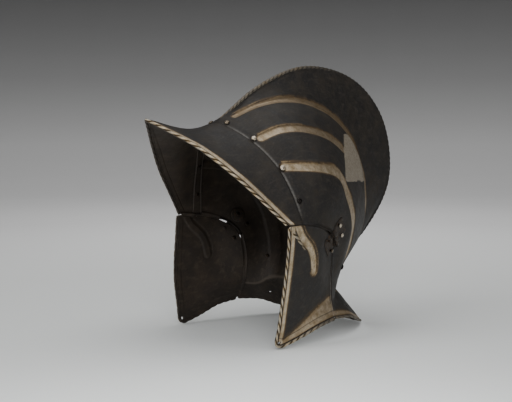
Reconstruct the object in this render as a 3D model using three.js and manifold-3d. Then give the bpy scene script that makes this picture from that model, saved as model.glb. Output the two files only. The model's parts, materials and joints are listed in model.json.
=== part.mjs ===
// Burgonet: an open helmet with a high comb, a pointed peak, a flared nape and two hinged cheekpieces.
// Millimetres, +Z up, +X to the wearer's left, -Y to the front. It stands on its cheekpiece tips and nape rim.
import * as THREE from 'three';
import { mergeVertices } from 'three/addons/utils/BufferGeometryUtils.js';
import Module from 'manifold-3d';

const wasm = await Module();
wasm.setup();

// Driving sizes: half of the width, and the length and height that the outlines follow
const halfWidth = 98;
const helmetLength = 359;
const helmetHeight = 295;

// Plates
const skullWall = 1.6;
const peakWall = 1.5;
const cheekWall = 1.5;
const lapLength = 11;
const plateGap = 0.35;

// Roped edges
const ropeRadius = 2.6;
const combNeckHalf = 1.9;
const combFade = 11;
const combFlatWidth = 0.6;
const hollowWidth = 0.2;
const hollowStart = 16;
const hollowFull = 30;

// Rivets
const rivetInset = 4;
const shankRadius = 1.4;
const domeRadius = 3;
const domeHeight = 1.7;
const clenchRadius = 2.3;
const clenchHeight = 0.8;
const clenchGap = 0.7;
const seatGap = 0.3;
const holeClearance = 0.3;
const lacingHoleRadius = 1.6;

// Hinges
const barrelRadius = 2.2;
const pinRadius = 1;
const pinHeadRadius = 1.9;
const pinHeadHeight = 0.9;
const hingeWidth = 22;
const skullLeafHeight = 20;
const cheekLeafHeight = 17;
const leafThickness = 1.1;
const skullLeafSag = 1.3;
const cheekLeafSag = 1.5;
const knuckleGap = 0.35;
const washerRadius = 8.5;
const washerThickness = 1.1;
const washerSag = 0.5;
const hingeRivetRadius = 1.9;
const hingeRivetHeight = 1;
const overrun = 8;

// Rails of the skull's left half, brow to nape rim, as shares of the half width, length and height
const skullRailShares = {
  combEdge: [
    [0, -0.258, 0.776], [0, -0.088, 0.92], [0, 0.113, 1], [0, 0.336, 0.948], [0, 0.469, 0.79],
    [0, 0.497, 0.553], [0, 0.38, 0.349], [0, 0.219, 0.224], [0, 0.17, 0.146], [0, 0.248, 0.0139],
  ],
  combSide: [
    [0.04, -0.258, 0.776], [0.061, -0.093, 0.878], [0.071, 0.079, 0.929], [0.077, 0.263, 0.871],
    [0.071, 0.383, 0.732], [0.071, 0.419, 0.529], [0.071, 0.35, 0.347], [0.071, 0.216, 0.224],
    [0.061, 0.169, 0.146], [0.061, 0.248, 0.0139],
  ],
  upperBand: [
    [0.082, -0.258, 0.775], [0.133, -0.099, 0.849], [0.153, 0.04, 0.859], [0.163, 0.182, 0.802],
    [0.158, 0.291, 0.678], [0.148, 0.338, 0.508], [0.138, 0.313, 0.339], [0.133, 0.213, 0.224],
    [0.122, 0.168, 0.146], [0.122, 0.248, 0.0139],
  ],
  middleBand: [
    [0.48, -0.224, 0.708], [0.515, -0.127, 0.751], [0.52, -0.015, 0.751], [0.459, 0.107, 0.712],
    [0.418, 0.202, 0.624], [0.398, 0.252, 0.492], [0.367, 0.249, 0.353], [0.347, 0.174, 0.227],
    [0.327, 0.139, 0.157], [0.378, 0.243, 0.0139],
  ],
  lowerBand: [
    [0.724, -0.187, 0.62], [0.816, -0.124, 0.619], [0.867, -0.054, 0.612], [0.847, 0.018, 0.585],
    [0.801, 0.068, 0.515], [0.73, 0.116, 0.42], [0.633, 0.124, 0.315], [0.556, 0.106, 0.224],
    [0.52, 0.086, 0.167], [0.662, 0.155, 0.044],
  ],
  temple: [
    [0.878, -0.166, 0.525], [0.918, -0.11, 0.522], [0.934, -0.049, 0.515], [0.888, 0.013, 0.485],
    [0.827, 0.054, 0.434], [0.776, 0.077, 0.356], [0.714, 0.079, 0.281], [0.668, 0.068, 0.207],
    [0.658, 0.056, 0.139], [0.778, 0.089, 0.072],
  ],
  lowerEdge: [
    [0.971, -0.15, 0.426], [0.968, -0.106, 0.423], [0.941, -0.057, 0.406], [0.884, -0.016, 0.384],
    [0.823, 0.008, 0.351], [0.781, 0.017, 0.309], [0.753, 0.022, 0.254], [0.749, 0.023, 0.193],
    [0.765, 0.019, 0.14], [0.846, 0.011, 0.081],
  ],
};

// Rails of the peak from the keel outward, halfway along it and at its roped edge
const peakMiddleShares = [
  [0, -0.355, 0.752], [0.133, -0.347, 0.741], [0.403, -0.319, 0.688], [0.646, -0.265, 0.608],
  [0.825, -0.223, 0.516], [0.955, -0.179, 0.428],
];
const peakEdgeShares = [
  [0, -0.492, 0.782], [0.15, -0.458, 0.752], [0.394, -0.402, 0.696], [0.638, -0.334, 0.609],
  [0.806, -0.267, 0.52], [0.947, -0.203, 0.43],
];

// Columns of the left cheekpiece, front to rear, each from its top edge down to the neck crease and the rim
const cheekRailShares = [
  [
    [0.99, -0.204, 0.42], [0.992, -0.208, 0.339], [0.978, -0.216, 0.244], [0.951, -0.221, 0.163],
    [0.895, -0.221, 0.068], [0.857, -0.225, 0.008],
  ],
  [
    [0.985, -0.143, 0.42], [0.969, -0.143, 0.342], [0.945, -0.143, 0.247], [0.925, -0.15, 0.169],
    [0.882, -0.153, 0.083], [0.872, -0.153, 0.031],
  ],
  [
    [0.952, -0.073, 0.405], [0.923, -0.068, 0.339], [0.888, -0.062, 0.247], [0.862, -0.062, 0.183],
    [0.832, -0.064, 0.129], [0.886, -0.068, 0.065],
  ],
  [
    [0.852, -0.006, 0.364], [0.79, 0.009, 0.318], [0.748, 0.016, 0.244], [0.75, 0.016, 0.183],
    [0.765, 0.012, 0.14], [0.852, 0.004, 0.08],
  ],
];
const tipCornerShares = [0.1, 0.09];

// Places along the rails
const hingeShares = [0.32, 0.48];
const hingeRivetShares = [-0.36, 0.36];
const napeRivetShares = { left: [0.739, 0.7], right: [0.807, 0.7] };
const napeHoleShares = [0.955, 0.67];
const tipHoleShares = [0.955, 0.045];
const peakRivetShares = [0.235, 0.387, 0.606, 0.839];
const brightPeakRivets = 3;

// Steps of the meshes
const skullRowCounts = [4, 3, 3, 3, 3, 3, 2, 2, 2];
const cheekRowShares = [0, 0.12, 0.25, 0.38, 0.5, 0.6, 0.7, 0.8, 0.86, 0.91, 0.955, 1];
const cheekColumnShares = [0, 0.05, 0.1, 0.2, 0.3, 0.4, 0.5, 0.6, 0.7, 0.8, 0.9, 1];
const peakRowShares = [1 / 6, 1 / 3, 1 / 2, 2 / 3, 5 / 6, 1];
const combRopeShares = [[0, 0], [0.8, 0.35], [1, 1.1], [0.78, 1.8]];
const combNeckShare = 2.3;
const combSideShares = [0.25, 0.5, 0.75];
const hollowShares = [0.08, 0.1, 0.14, 0.2, 0.3, 0.45, 0.65, 0.85];
const combColumnShares = [0, 0.024, 0.048, 0.072, 0.096, 0.124, 0.152, 0.176];
const vaultColumnShares = [0.2, 0.3, 0.4, 0.5, 0.6, 0.7, 0.8, 0.9, 1];
const rimSteps = 5;
const roundSegments = 8;
const barrelSegments = 12;
const domeSteps = 3;
const coarseSteps = 16;
const fineSteps = 6;
const finestShare = 1 / 4000;
const slopeShare = 1 / 500;

const place = ([x, y, z]) => new THREE.Vector3(x * halfWidth, y * helmetLength, z * helmetHeight);
const mirrored = (point) => new THREE.Vector3(-point.x, point.y, point.z);
const rails = Object.fromEntries(
  Object.entries(skullRailShares).map(([name, shares]) => [name, shares.map(place)]),
);
const peakMiddle = peakMiddleShares.map(place);
const peakEdge = peakEdgeShares.map(place);
const cheekRails = cheekRailShares.map((shares) => shares.map(place));
const headCentre = place([0, 0, 0.5]);

// A rail is a smooth curve down to the neck crease and a straight flare below it
function railPoint(rail, along) {
  const crease = rail.length - 2;
  const position = along * (rail.length - 1);
  if (position > crease) return rail[crease].clone().lerp(rail[crease + 1], position - crease);
  return new THREE.CatmullRomCurve3(rail.slice(0, crease + 1)).getPoint(position / crease);
}

function curvePoint(points, share) {
  return new THREE.CatmullRomCurve3(points).getPoint(share);
}

// The skull without its comb: one smooth section over both halves, from the crown across to the lower edge
function vaultPoint(along, across) {
  const side = [rails.upperBand, rails.middleBand, rails.lowerBand, rails.temple, rails.lowerEdge]
    .map((rail) => railPoint(rail, along));
  const crown = side[0].clone().setX(0);
  const section = [...side.map(mirrored).reverse(), crown, ...side];
  return curvePoint(section, (1 + across) / 2);
}

// The comb at one place along it: its height, its rope's points, its neck, side and root
function combFrame(along) {
  const crest = railPoint(rails.combEdge, along);
  const side = railPoint(rails.combSide, along);
  const root = railPoint(rails.upperBand, along);
  const inward = side.clone().setX(0).sub(crest).normalize();
  const height = root.clone().setX(0).distanceTo(crest);
  const rise = THREE.MathUtils.smoothstep(height, 0, combFade);
  const ropePoint = (index, half, depth) => {
    const full = crest.clone().addScaledVector(inward, depth).setX(half);
    return crest.clone().setX(index * combFlatWidth).lerp(full, rise);
  };
  const neck = ropePoint(combRopeShares.length, combNeckHalf, combNeckShare * ropeRadius);
  return { height, ropePoint, fold: [neck, side, root] };
}

// The comb's rope, its neck and its hollow-ground side, from the crest down to the first band
function combPoint(along, column) {
  const { ropePoint, fold } = combFrame(along);
  if (column < combRopeShares.length) {
    const [half, depth] = combRopeShares[column];
    return ropePoint(column, half * ropeRadius, depth * ropeRadius);
  }
  if (column === combRopeShares.length) return fold[0];
  return curvePoint(fold, combSideShares[column - combRopeShares.length - 1]);
}

// The inner face of the comb's folded plate; where the comb is low, the fold is closed off at the vault
function hollowPoint(along, column, closed) {
  const { height, fold } = combFrame(along);
  const curve = new THREE.CatmullRomCurve3(fold);
  const tangent = curve.getTangent(hollowShares[column]);
  const inward = new THREE.Vector3(-1, 0, 0);
  inward.addScaledVector(tangent, -inward.dot(tangent)).normalize();
  const point = curve.getPoint(hollowShares[column]).addScaledVector(inward, skullWall);
  point.setX(column && Math.max(point.x, column * hollowWidth));
  return closed.clone().lerp(point, THREE.MathUtils.smoothstep(height, hollowStart, hollowFull));
}

function cheekPoint(along, across) {
  return curvePoint(cheekRails.map((rail) => railPoint(rail, along)), across);
}

// Direction out of the head at each point of a grid, from its neighbours
function gridNormals(grid) {
  const last = grid.length - 1;
  const normals = grid.map((row, i) => row.map((point, j) => {
    const down = grid[Math.min(i + 1, last)][j].clone().sub(grid[Math.max(i - 1, 0)][j]);
    const over = row[Math.min(j + 1, row.length - 1)].clone().sub(row[Math.max(j - 1, 0)]);
    return down.cross(over).normalize();
  }));
  const [i, j] = [grid.length, grid[0].length].map((count) => Math.floor(count / 2));
  const inward = normals[i][j].dot(grid[i][j].clone().sub(headCentre)) < 0;
  if (inward) normals.flat().forEach((normal) => normal.negate());
  return normals;
}

function offsetGrid(grid, distance) {
  const normals = gridNormals(grid);
  return grid.map((row, i) => row.map((point, j) => point.clone().addScaledVector(normals[i][j], distance)));
}

// Row and column of each point around the border of a grid, in order
function borderOf(rows, columns) {
  const border = [];
  for (let j = 0; j < columns; j++) border.push([0, j]);
  for (let i = 1; i < rows; i++) border.push([i, columns - 1]);
  for (let j = columns - 2; j >= 0; j--) border.push([rows - 1, j]);
  for (let i = rows - 2; i > 0; i--) border.push([i, 0]);
  return border;
}

function signedVolume(points, triangles) {
  return triangles.reduce((sum, [a, b, c]) => sum + points[a].dot(points[b].clone().cross(points[c])), 0);
}

function closedGeometry(points, triangles) {
  const outward = signedVolume(points, triangles) > 0;
  const index = triangles.flatMap(([a, b, c]) => (outward ? [a, b, c] : [a, c, b]));
  const geometry = new THREE.BufferGeometry().setFromPoints(points);
  geometry.setIndex(index);
  return geometry;
}

// A plate between its outer and inner grid, with a rolled rim all round: rimRadius says how thick at each point
function plateGeometry(outer, inner, rimRadius) {
  const rows = outer.length;
  const columns = outer[0].length;
  const points = [...outer.flat(), ...inner.flat()];
  const outerAt = (i, j) => i * columns + j;
  const innerAt = (i, j) => rows * columns + i * columns + j;
  const triangles = [];
  for (let i = 0; i < rows - 1; i++) {
    for (let j = 0; j < columns - 1; j++) {
      triangles.push([outerAt(i, j), outerAt(i + 1, j), outerAt(i, j + 1)]);
      triangles.push([outerAt(i + 1, j), outerAt(i + 1, j + 1), outerAt(i, j + 1)]);
      triangles.push([innerAt(i, j), innerAt(i, j + 1), innerAt(i + 1, j)]);
      triangles.push([innerAt(i + 1, j), innerAt(i, j + 1), innerAt(i + 1, j + 1)]);
    }
  }
  const border = borderOf(rows, columns);
  const middles = border.map(([i, j]) => outer[i][j].clone().add(inner[i][j]).multiplyScalar(1 / 2));
  const strips = border.map(([i, j], k) => {
    const up = outer[i][j].clone().sub(inner[i][j]);
    const halfWall = up.length() / 2;
    up.normalize();
    const along = middles[(k + 1) % border.length].clone().sub(middles.at(k - 1));
    const out = along.cross(up).normalize();
    const insideRow = Math.min(Math.max(i, 1), rows - 2);
    const insideColumn = Math.min(Math.max(j, 1), columns - 2);
    if (out.dot(outer[i][j].clone().sub(outer[insideRow][insideColumn])) < 0) out.negate();
    const radius = Math.max(rimRadius(i, j), halfWall);
    const reach = Math.sqrt(radius ** 2 - halfWall ** 2);
    const centre = middles[k].clone().addScaledVector(out, reach);
    const start = Math.PI - Math.asin(Math.min(halfWall / radius, 1));
    const strip = [outerAt(i, j)];
    for (let step = 1; step < rimSteps; step++) {
      const angle = start * (1 - 2 * step / rimSteps);
      strip.push(points.length);
      points.push(centre.clone()
        .addScaledVector(out, radius * Math.cos(angle)).addScaledVector(up, radius * Math.sin(angle)));
    }
    strip.push(innerAt(i, j));
    return strip;
  });
  strips.forEach((strip, k) => {
    const next = strips[(k + 1) % strips.length];
    for (let step = 0; step < rimSteps; step++) {
      triangles.push([strip[step], next[step], strip[step + 1]]);
      triangles.push([strip[step + 1], next[step], next[step + 1]]);
    }
  });
  return closedGeometry(points, triangles);
}

// Solids for cutting and joining
function solidOf(geometry) {
  const bare = geometry.clone();
  for (const name of Object.keys(bare.attributes)) if (name !== 'position') bare.deleteAttribute(name);
  const merged = mergeVertices(bare);
  return new wasm.Manifold(new wasm.Mesh({
    numProp: 3,
    vertProperties: new Float32Array(merged.attributes.position.array),
    triVerts: new Uint32Array(merged.index.array),
  }));
}

function geometryOf(solid) {
  const mesh = solid.getMesh();
  const geometry = new THREE.BufferGeometry();
  geometry.setAttribute('position', new THREE.BufferAttribute(new Float32Array(mesh.vertProperties), 3));
  geometry.setIndex(new THREE.BufferAttribute(new Uint32Array(mesh.triVerts), 1));
  return geometry;
}

function cut(geometry, cutters) {
  return geometryOf(cutters.reduce((solid, cutter) => solid.subtract(solidOf(cutter)), solidOf(geometry)));
}

function join(geometry, pieces) {
  return geometryOf(pieces.reduce((solid, piece) => solid.add(solidOf(piece)), solidOf(geometry)));
}

function mirrorGeometry(geometry) {
  const twin = geometry.clone().scale(-1, 1, 1);
  const index = Array.from(twin.index.array);
  for (let k = 0; k < index.length; k += 3) [index[k + 1], index[k + 2]] = [index[k + 2], index[k + 1]];
  twin.setIndex(index);
  return twin;
}

// A solid of revolution, its axis turned from +Y to a direction and moved to a point
function turned(geometry, point, direction) {
  const turn = new THREE.Quaternion().setFromUnitVectors(new THREE.Vector3(0, 1, 0), direction);
  return geometry.clone().applyQuaternion(turn).translate(point.x, point.y, point.z);
}

function rod(radius, length, segments, point, direction) {
  return turned(new THREE.CylinderGeometry(radius, radius, length, segments), point, direction);
}

const shankHole = (seat) => rod(
  shankRadius + holeClearance, 2 * overrun, roundSegments, seat.point, seat.normal,
);

// A rivet from the outer face of the stack that it holds: domed head, shank and clenched inner end
function rivetGeometry(grip, headRadius, headHeight) {
  const inner = -grip - clenchGap;
  const profile = [
    [0, inner - clenchHeight], [clenchRadius, inner - clenchHeight], [clenchRadius, inner],
    [shankRadius, inner], [shankRadius, seatGap], [headRadius, seatGap],
  ];
  for (let step = 1; step <= domeSteps; step++) {
    const angle = step / domeSteps * Math.PI / 2;
    profile.push([step < domeSteps ? headRadius * Math.cos(angle) : 0, seatGap + headHeight * Math.sin(angle)]);
  }
  return new THREE.LatheGeometry(profile.map(([x, y]) => new THREE.Vector2(x, y)), roundSegments);
}

// Where a surface comes nearest to a point, with its direction out of the head
function nearest(surface, target) {
  let best = { a: 1 / 2, b: 1 / 2, distance: Infinity };
  for (let span = 1, steps = coarseSteps; span > finestShare; span /= fineSteps, steps = fineSteps) {
    const from = { ...best };
    for (let i = 0; i <= steps; i++) {
      for (let j = 0; j <= steps; j++) {
        const a = THREE.MathUtils.clamp(from.a + span * (i / steps - 1 / 2), 0, 1);
        const b = THREE.MathUtils.clamp(from.b + span * (j / steps - 1 / 2), 0, 1);
        const distance = surface(a, b).distanceTo(target);
        if (distance < best.distance) best = { a, b, distance };
      }
    }
  }
  return seatAt(surface, best.a, best.b);
}

function seatAt(surface, a, b) {
  const span = (low, high) => surface(...high).sub(surface(...low));
  const down = span([Math.max(a - slopeShare, 0), b], [Math.min(a + slopeShare, 1), b]);
  const over = span([a, Math.max(b - slopeShare, 0)], [a, Math.min(b + slopeShare, 1)]);
  const point = surface(a, b);
  const normal = down.cross(over).normalize();
  if (normal.dot(point.clone().sub(headCentre)) < 0) normal.negate();
  return { point, normal };
}

function mirrorSeat(seat) {
  return { point: mirrored(seat.point), normal: mirrored(seat.normal) };
}

const bothSides = (seats) => seats.flatMap((seat) => [seat, mirrorSeat(seat)]);

// Grids of the skull: comb columns, then the vault, the right half first
const skullRows = skullRowCounts.flatMap((count, k) => Array.from({ length: count },
  (_, i) => (k + i / count) / skullRowCounts.length)).concat(1);
const columnShares = [...combColumnShares, ...vaultColumnShares];

function fullRow(half) {
  return [...half.slice(1).reverse().map(mirrored), ...half];
}

const vaultGrid = skullRows.map((along) => fullRow(columnShares.map((across) => vaultPoint(along, across))));
const skullOuter = skullRows.map((along) => fullRow(columnShares.map((across, column) => (
  column < combColumnShares.length ? combPoint(along, column) : vaultPoint(along, across)))));
const vaultInner = offsetGrid(vaultGrid, -skullWall);
const crownColumn = columnShares.length - 1;
const skullInner = vaultInner.map((row, i) => fullRow(row.slice(crownColumn).map((point, column) => (
  column < combColumnShares.length ? hollowPoint(skullRows[i], column, point) : point))));
const vaultNormals = gridNormals(vaultGrid);

// Seats of the peak's rivets: at the front end of each band and at the temple, just behind the brow
const peakSeats = peakRivetShares.map((across) => {
  const brow = vaultPoint(0, across);
  const back = vaultPoint(1 / skullRowCounts.length, across);
  return seatAt(vaultPoint, rivetInset / brow.distanceTo(back) / skullRowCounts.length, across);
});
const napeSeats = {
  left: seatAt(vaultPoint, ...napeRivetShares.left),
  right: mirrorSeat(seatAt(vaultPoint, ...napeRivetShares.right)),
};
const napeHole = seatAt(vaultPoint, ...napeHoleShares);

// The hinge's frame: axis along the skull's lower edge, just outside the plates
function hingeFrame() {
  const [front, back] = hingeShares.map((along) => vaultPoint(along, 1));
  const middle = seatAt(vaultPoint, (hingeShares[0] + hingeShares[1]) / 2, 1);
  const axis = back.clone().sub(front).normalize();
  const out = middle.normal.clone().addScaledVector(axis, -middle.normal.dot(axis)).normalize();
  const up = out.clone().cross(axis).normalize();
  if (up.z < 0) up.negate();
  const centre = middle.point.clone()
    .addScaledVector(out, barrelRadius + seatGap).addScaledVector(up, -seatGap);
  return { axis, out, up, centre };
}

const hinge = hingeFrame();
const knuckleLength = hingeWidth / 3;

// A leaf is flat, touches its barrel from inside and rests just over its plate, with its rivets in a row
function leafFrame(surface, direction, height, sag) {
  const target = hinge.centre.clone().addScaledVector(direction, barrelRadius + height / 2);
  const seat = nearest(surface, target);
  const middle = seat.point.clone().addScaledVector(seat.normal, seatGap + sag + leafThickness / 2);
  const arm = middle.sub(hinge.centre);
  arm.addScaledVector(hinge.axis, -arm.dot(hinge.axis));
  const tilt = Math.asin((barrelRadius - leafThickness / 2) / arm.length());
  const radial = arm.clone().normalize();
  const outward = hinge.axis.clone().cross(radial);
  if (outward.dot(seat.normal) < 0) outward.negate();
  const away = radial.clone().multiplyScalar(Math.cos(tilt)).addScaledVector(outward, Math.sin(tilt));
  const out = outward.multiplyScalar(Math.cos(tilt)).addScaledVector(radial, -Math.sin(tilt));
  return { centre: hinge.centre.clone().add(arm), reach: arm.dot(away), height, out, away };
}

const skullLeaf = leafFrame(vaultPoint, hinge.up, skullLeafHeight, skullLeafSag);
const cheekLeaf = leafFrame(cheekPoint, hinge.up.clone().negate(), cheekLeafHeight, cheekLeafSag);

function leafBox(frame) {
  const length = frame.height / 2 + frame.reach - pinRadius;
  const middle = frame.centre.clone().addScaledVector(frame.away, (frame.height - length) / 2);
  const box = new THREE.BoxGeometry(hingeWidth, length, leafThickness);
  const turn = new THREE.Matrix4().makeBasis(hinge.axis, frame.away, hinge.axis.clone().cross(frame.away));
  return box.applyMatrix4(turn.setPosition(middle));
}

function leafRivetSeats(frame) {
  return hingeRivetShares.map((share) => ({
    point: frame.centre.clone().addScaledVector(hinge.axis, share * hingeWidth)
      .addScaledVector(frame.out, leafThickness / 2),
    normal: frame.out,
  }));
}

// Each leaf: a plate joined to its own knuckles, clear of the other leaf's, bored for the pin and the rivets
function leafGeometry(frame, ownKnuckles, otherKnuckles) {
  const along = (k) => hinge.centre.clone().addScaledVector(hinge.axis, k * knuckleLength);
  const knuckles = ownKnuckles.map((k) => (
    rod(barrelRadius, knuckleLength - knuckleGap, barrelSegments, along(k), hinge.axis)));
  const clears = otherKnuckles.map((k) => (
    rod(barrelRadius + knuckleGap, knuckleLength + knuckleGap, barrelSegments, along(k), hinge.axis)));
  const bore = rod(pinRadius + holeClearance, hingeWidth + overrun, barrelSegments, hinge.centre, hinge.axis);
  const plate = cut(leafBox(frame), clears);
  return cut(join(plate, knuckles), [bore, ...leafRivetSeats(frame).map(shankHole)]);
}

function pinGeometry() {
  const half = hingeWidth / 2 + seatGap;
  const profile = [
    [0, -half - pinHeadHeight], [pinHeadRadius, -half - pinHeadHeight], [pinHeadRadius, -half],
    [pinRadius, -half], [pinRadius, half], [pinHeadRadius, half],
    [pinHeadRadius, half + pinHeadHeight], [0, half + pinHeadHeight],
  ];
  const lathe = new THREE.LatheGeometry(profile.map(([x, y]) => new THREE.Vector2(x, y)), roundSegments);
  return turned(lathe, hinge.centre, hinge.axis);
}

// How deep the stack under a leaf rivet is, from the leaf's outer face to the plate's inner face
function stackDepth(surface, seat, wall) {
  const below = nearest(surface, seat.point);
  return seat.point.clone().sub(below.point).dot(seat.normal) + wall;
}

const skullLeafSeats = leafRivetSeats(skullLeaf);
const cheekLeafSeats = leafRivetSeats(cheekLeaf);

// The round washer inside the skull, under the front rivet of the hinge, square to the plate
function washerFrame() {
  const below = nearest(vaultPoint, skullLeafSeats[0].point);
  const depth = skullWall + seatGap + washerSag + washerThickness / 2;
  return { point: below.point.clone().addScaledVector(below.normal, -depth), normal: below.normal };
}

const washer = washerFrame();

function washerGeometry() {
  const disc = rod(washerRadius, washerThickness, barrelSegments, washer.point, washer.normal);
  return cut(disc, skullLeafSeats.map(shankHole));
}

// Everything below the ground plane is cut off, which leaves the flats that the helmet stands on
function groundCutter() {
  const box = new THREE.BoxGeometry(2 * (halfWidth + overrun), 2 * helmetLength, overrun);
  return box.translate(0, 0, -overrun / 2);
}

function skullGeometry() {
  const last = skullOuter.length - 1;
  const rim = (i, j) => (i === last && j > 0 && j < skullOuter[0].length - 1 ? ropeRadius : 0);
  const seats = [...bothSides([...peakSeats, ...skullLeafSeats]), napeSeats.left, napeSeats.right];
  const laces = bothSides([napeHole]).map((seat) => (
    rod(lacingHoleRadius, 2 * overrun, roundSegments, seat.point, seat.normal)));
  return cut(plateGeometry(skullOuter, skullInner, rim), [...seats.map(shankHole), ...laces, groundCutter()]);
}

// The skull's inner face at a distance behind the brow, and one gap below it: where the peak's lap lies
function lapPoint(column, distance) {
  let left = distance;
  let row = 0;
  const step = () => vaultInner[row][column].distanceTo(vaultInner[row + 1][column]);
  while (left > step()) {
    left -= step();
    row++;
  }
  const share = left / step();
  const normal = vaultNormals[row][column].clone().lerp(vaultNormals[row + 1][column], share);
  const point = vaultInner[row][column].clone().lerp(vaultInner[row + 1][column], share);
  return point.addScaledVector(normal, -plateGap);
}

function peakGeometry() {
  const [middleRow, edgeRow] = [peakMiddle, peakEdge].map((rail) => (
    fullRow(columnShares.map((share) => curvePoint(rail, share)))));
  const lapRows = [lapLength, lapLength / 2, 0].map((distance) => (
    middleRow.map((_, column) => lapPoint(column, distance))));
  const rootRow = lapRows.at(-1);
  const frontRows = peakRowShares.map((share) => (
    rootRow.map((root, column) => curvePoint([root, middleRow[column], edgeRow[column]], share))));
  const outer = [...lapRows, ...frontRows];
  const last = outer.length - 1;
  const rim = (i, j) => (i === last && j > 0 && j < rootRow.length - 1 ? ropeRadius : 0);
  const geometry = plateGeometry(outer, offsetGrid(outer, -peakWall), rim);
  return cut(geometry, bothSides(peakSeats).map(shankHole));
}

// Rounds the front lower corner of the cheekpiece in its own shares
function roundedTip(along, across) {
  const [width, height] = tipCornerShares;
  const a = 1 - across / width;
  const b = 1 - (1 - along) / height;
  if (a <= 0 || b <= 0) return [along, across];
  const roundA = a * Math.sqrt(1 - b ** 2 / 2);
  const roundB = b * Math.sqrt(1 - a ** 2 / 2);
  return [1 - (1 - roundB) * height, (1 - roundA) * width];
}

function cheekGeometry() {
  const outer = cheekRowShares.map((along) => (
    cheekColumnShares.map((across) => cheekPoint(...roundedTip(along, across)))));
  const last = outer.length - 1;
  const lastColumn = cheekColumnShares.length - 1;
  const rim = (i, j) => ((i === last && j < lastColumn) || (j === 0 && i > 0) ? ropeRadius : 0);
  const hole = seatAt(cheekPoint, ...tipHoleShares);
  const lace = rod(lacingHoleRadius, 2 * overrun, roundSegments, hole.point, hole.normal);
  const plate = plateGeometry(outer, offsetGrid(outer, -cheekWall), rim);
  return cut(plate, [...cheekLeafSeats.map(shankHole), lace, groundCutter()]);
}

// Finishes
const blackened = new THREE.MeshStandardMaterial({ color: 0x2b2927, roughness: 0.55, metalness: 0.6 });
const brightSteel = new THREE.MeshStandardMaterial({ color: 0xb4a189, roughness: 0.38, metalness: 1 });
const darkIron = new THREE.MeshStandardMaterial({ color: 0x2a231d, roughness: 0.7, metalness: 0.7 });

const helmet = new THREE.Group();

function addPiece(group, name, geometry, material) {
  const mesh = new THREE.Mesh(geometry, material);
  mesh.name = name;
  group.add(mesh);
  return mesh;
}

// Sets a rivet into the stack at a seat, on the left or the mirrored right side
function addRivet(group, name, seat, geometry, material) {
  const mesh = addPiece(group, name, geometry, material);
  mesh.position.copy(seat.point);
  mesh.quaternion.setFromUnitVectors(new THREE.Vector3(0, 1, 0), seat.normal);
}

const peakStack = skullWall + plateGap + peakWall;
const peakRivet = rivetGeometry(peakStack, domeRadius, domeHeight);
const napeRivet = rivetGeometry(skullWall, domeRadius, domeHeight);
const washerDepth = seatGap + washerSag + washerThickness;
const skullStacks = skullLeafSeats.map((seat) => stackDepth(vaultPoint, seat, skullWall) + washerDepth);
const cheekStacks = cheekLeafSeats.map((seat) => stackDepth(cheekPoint, seat, cheekWall));
const leaves = {
  skull: leafGeometry(skullLeaf, [0], [-1, 1]),
  cheek: leafGeometry(cheekLeaf, [-1, 1], [0]),
};
const pin = pinGeometry();
const cheekPlate = cheekGeometry();
const washerDisc = washerGeometry();

addPiece(helmet, 'skull', skullGeometry(), blackened);
addPiece(helmet, 'peak', peakGeometry(), blackened);

for (const side of ['left', 'right']) {
  const left = side === 'left';
  const shape = (geometry) => (left ? geometry : mirrorGeometry(geometry));
  const seatOn = (seat) => (left ? seat : mirrorSeat(seat));
  const cheek = new THREE.Group();
  helmet.add(cheek);
  addPiece(cheek, `${side}_cheekpiece`, shape(cheekPlate), blackened);
  addPiece(cheek, `${side}_hinge_cheek_leaf`, shape(leaves.cheek), darkIron);
  addPiece(helmet, `${side}_hinge_skull_leaf`, shape(leaves.skull), darkIron);
  addPiece(helmet, `${side}_hinge_pin`, shape(pin), darkIron);
  addPiece(helmet, `${side}_hinge_washer`, shape(washerDisc), darkIron);
  peakSeats.forEach((seat, k) => {
    const finish = k < brightPeakRivets ? brightSteel : blackened;
    addRivet(helmet, `${side}_peak_rivet_${k + 1}`, seatOn(seat), peakRivet, finish);
  });
  addRivet(helmet, `${side}_nape_rivet`, napeSeats[side], napeRivet, blackened);
  skullLeafSeats.forEach((seat, k) => {
    const rivet = rivetGeometry(skullStacks[k], hingeRivetRadius, hingeRivetHeight);
    addRivet(helmet, `${side}_hinge_skull_rivet_${k + 1}`, seatOn(seat), rivet, brightSteel);
  });
  cheekLeafSeats.forEach((seat, k) => {
    const rivet = rivetGeometry(cheekStacks[k], hingeRivetRadius, hingeRivetHeight);
    addRivet(cheek, `${side}_hinge_cheek_rivet_${k + 1}`, seatOn(seat), rivet, darkIron);
  });
}

// The origin is on the ground under the middle of the helmet's box
const bounds = new THREE.Box3().setFromObject(helmet);
helmet.position.y = -(bounds.min.y + bounds.max.y) / 2;

export default helmet;
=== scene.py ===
# Burgonet: black and white steel helmet with a high roped comb, a pointed peak and two hinged cheekpieces
import json
import math
import bpy
import numpy as np
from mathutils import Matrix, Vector
from mathutils.bvhtree import BVHTree


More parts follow.
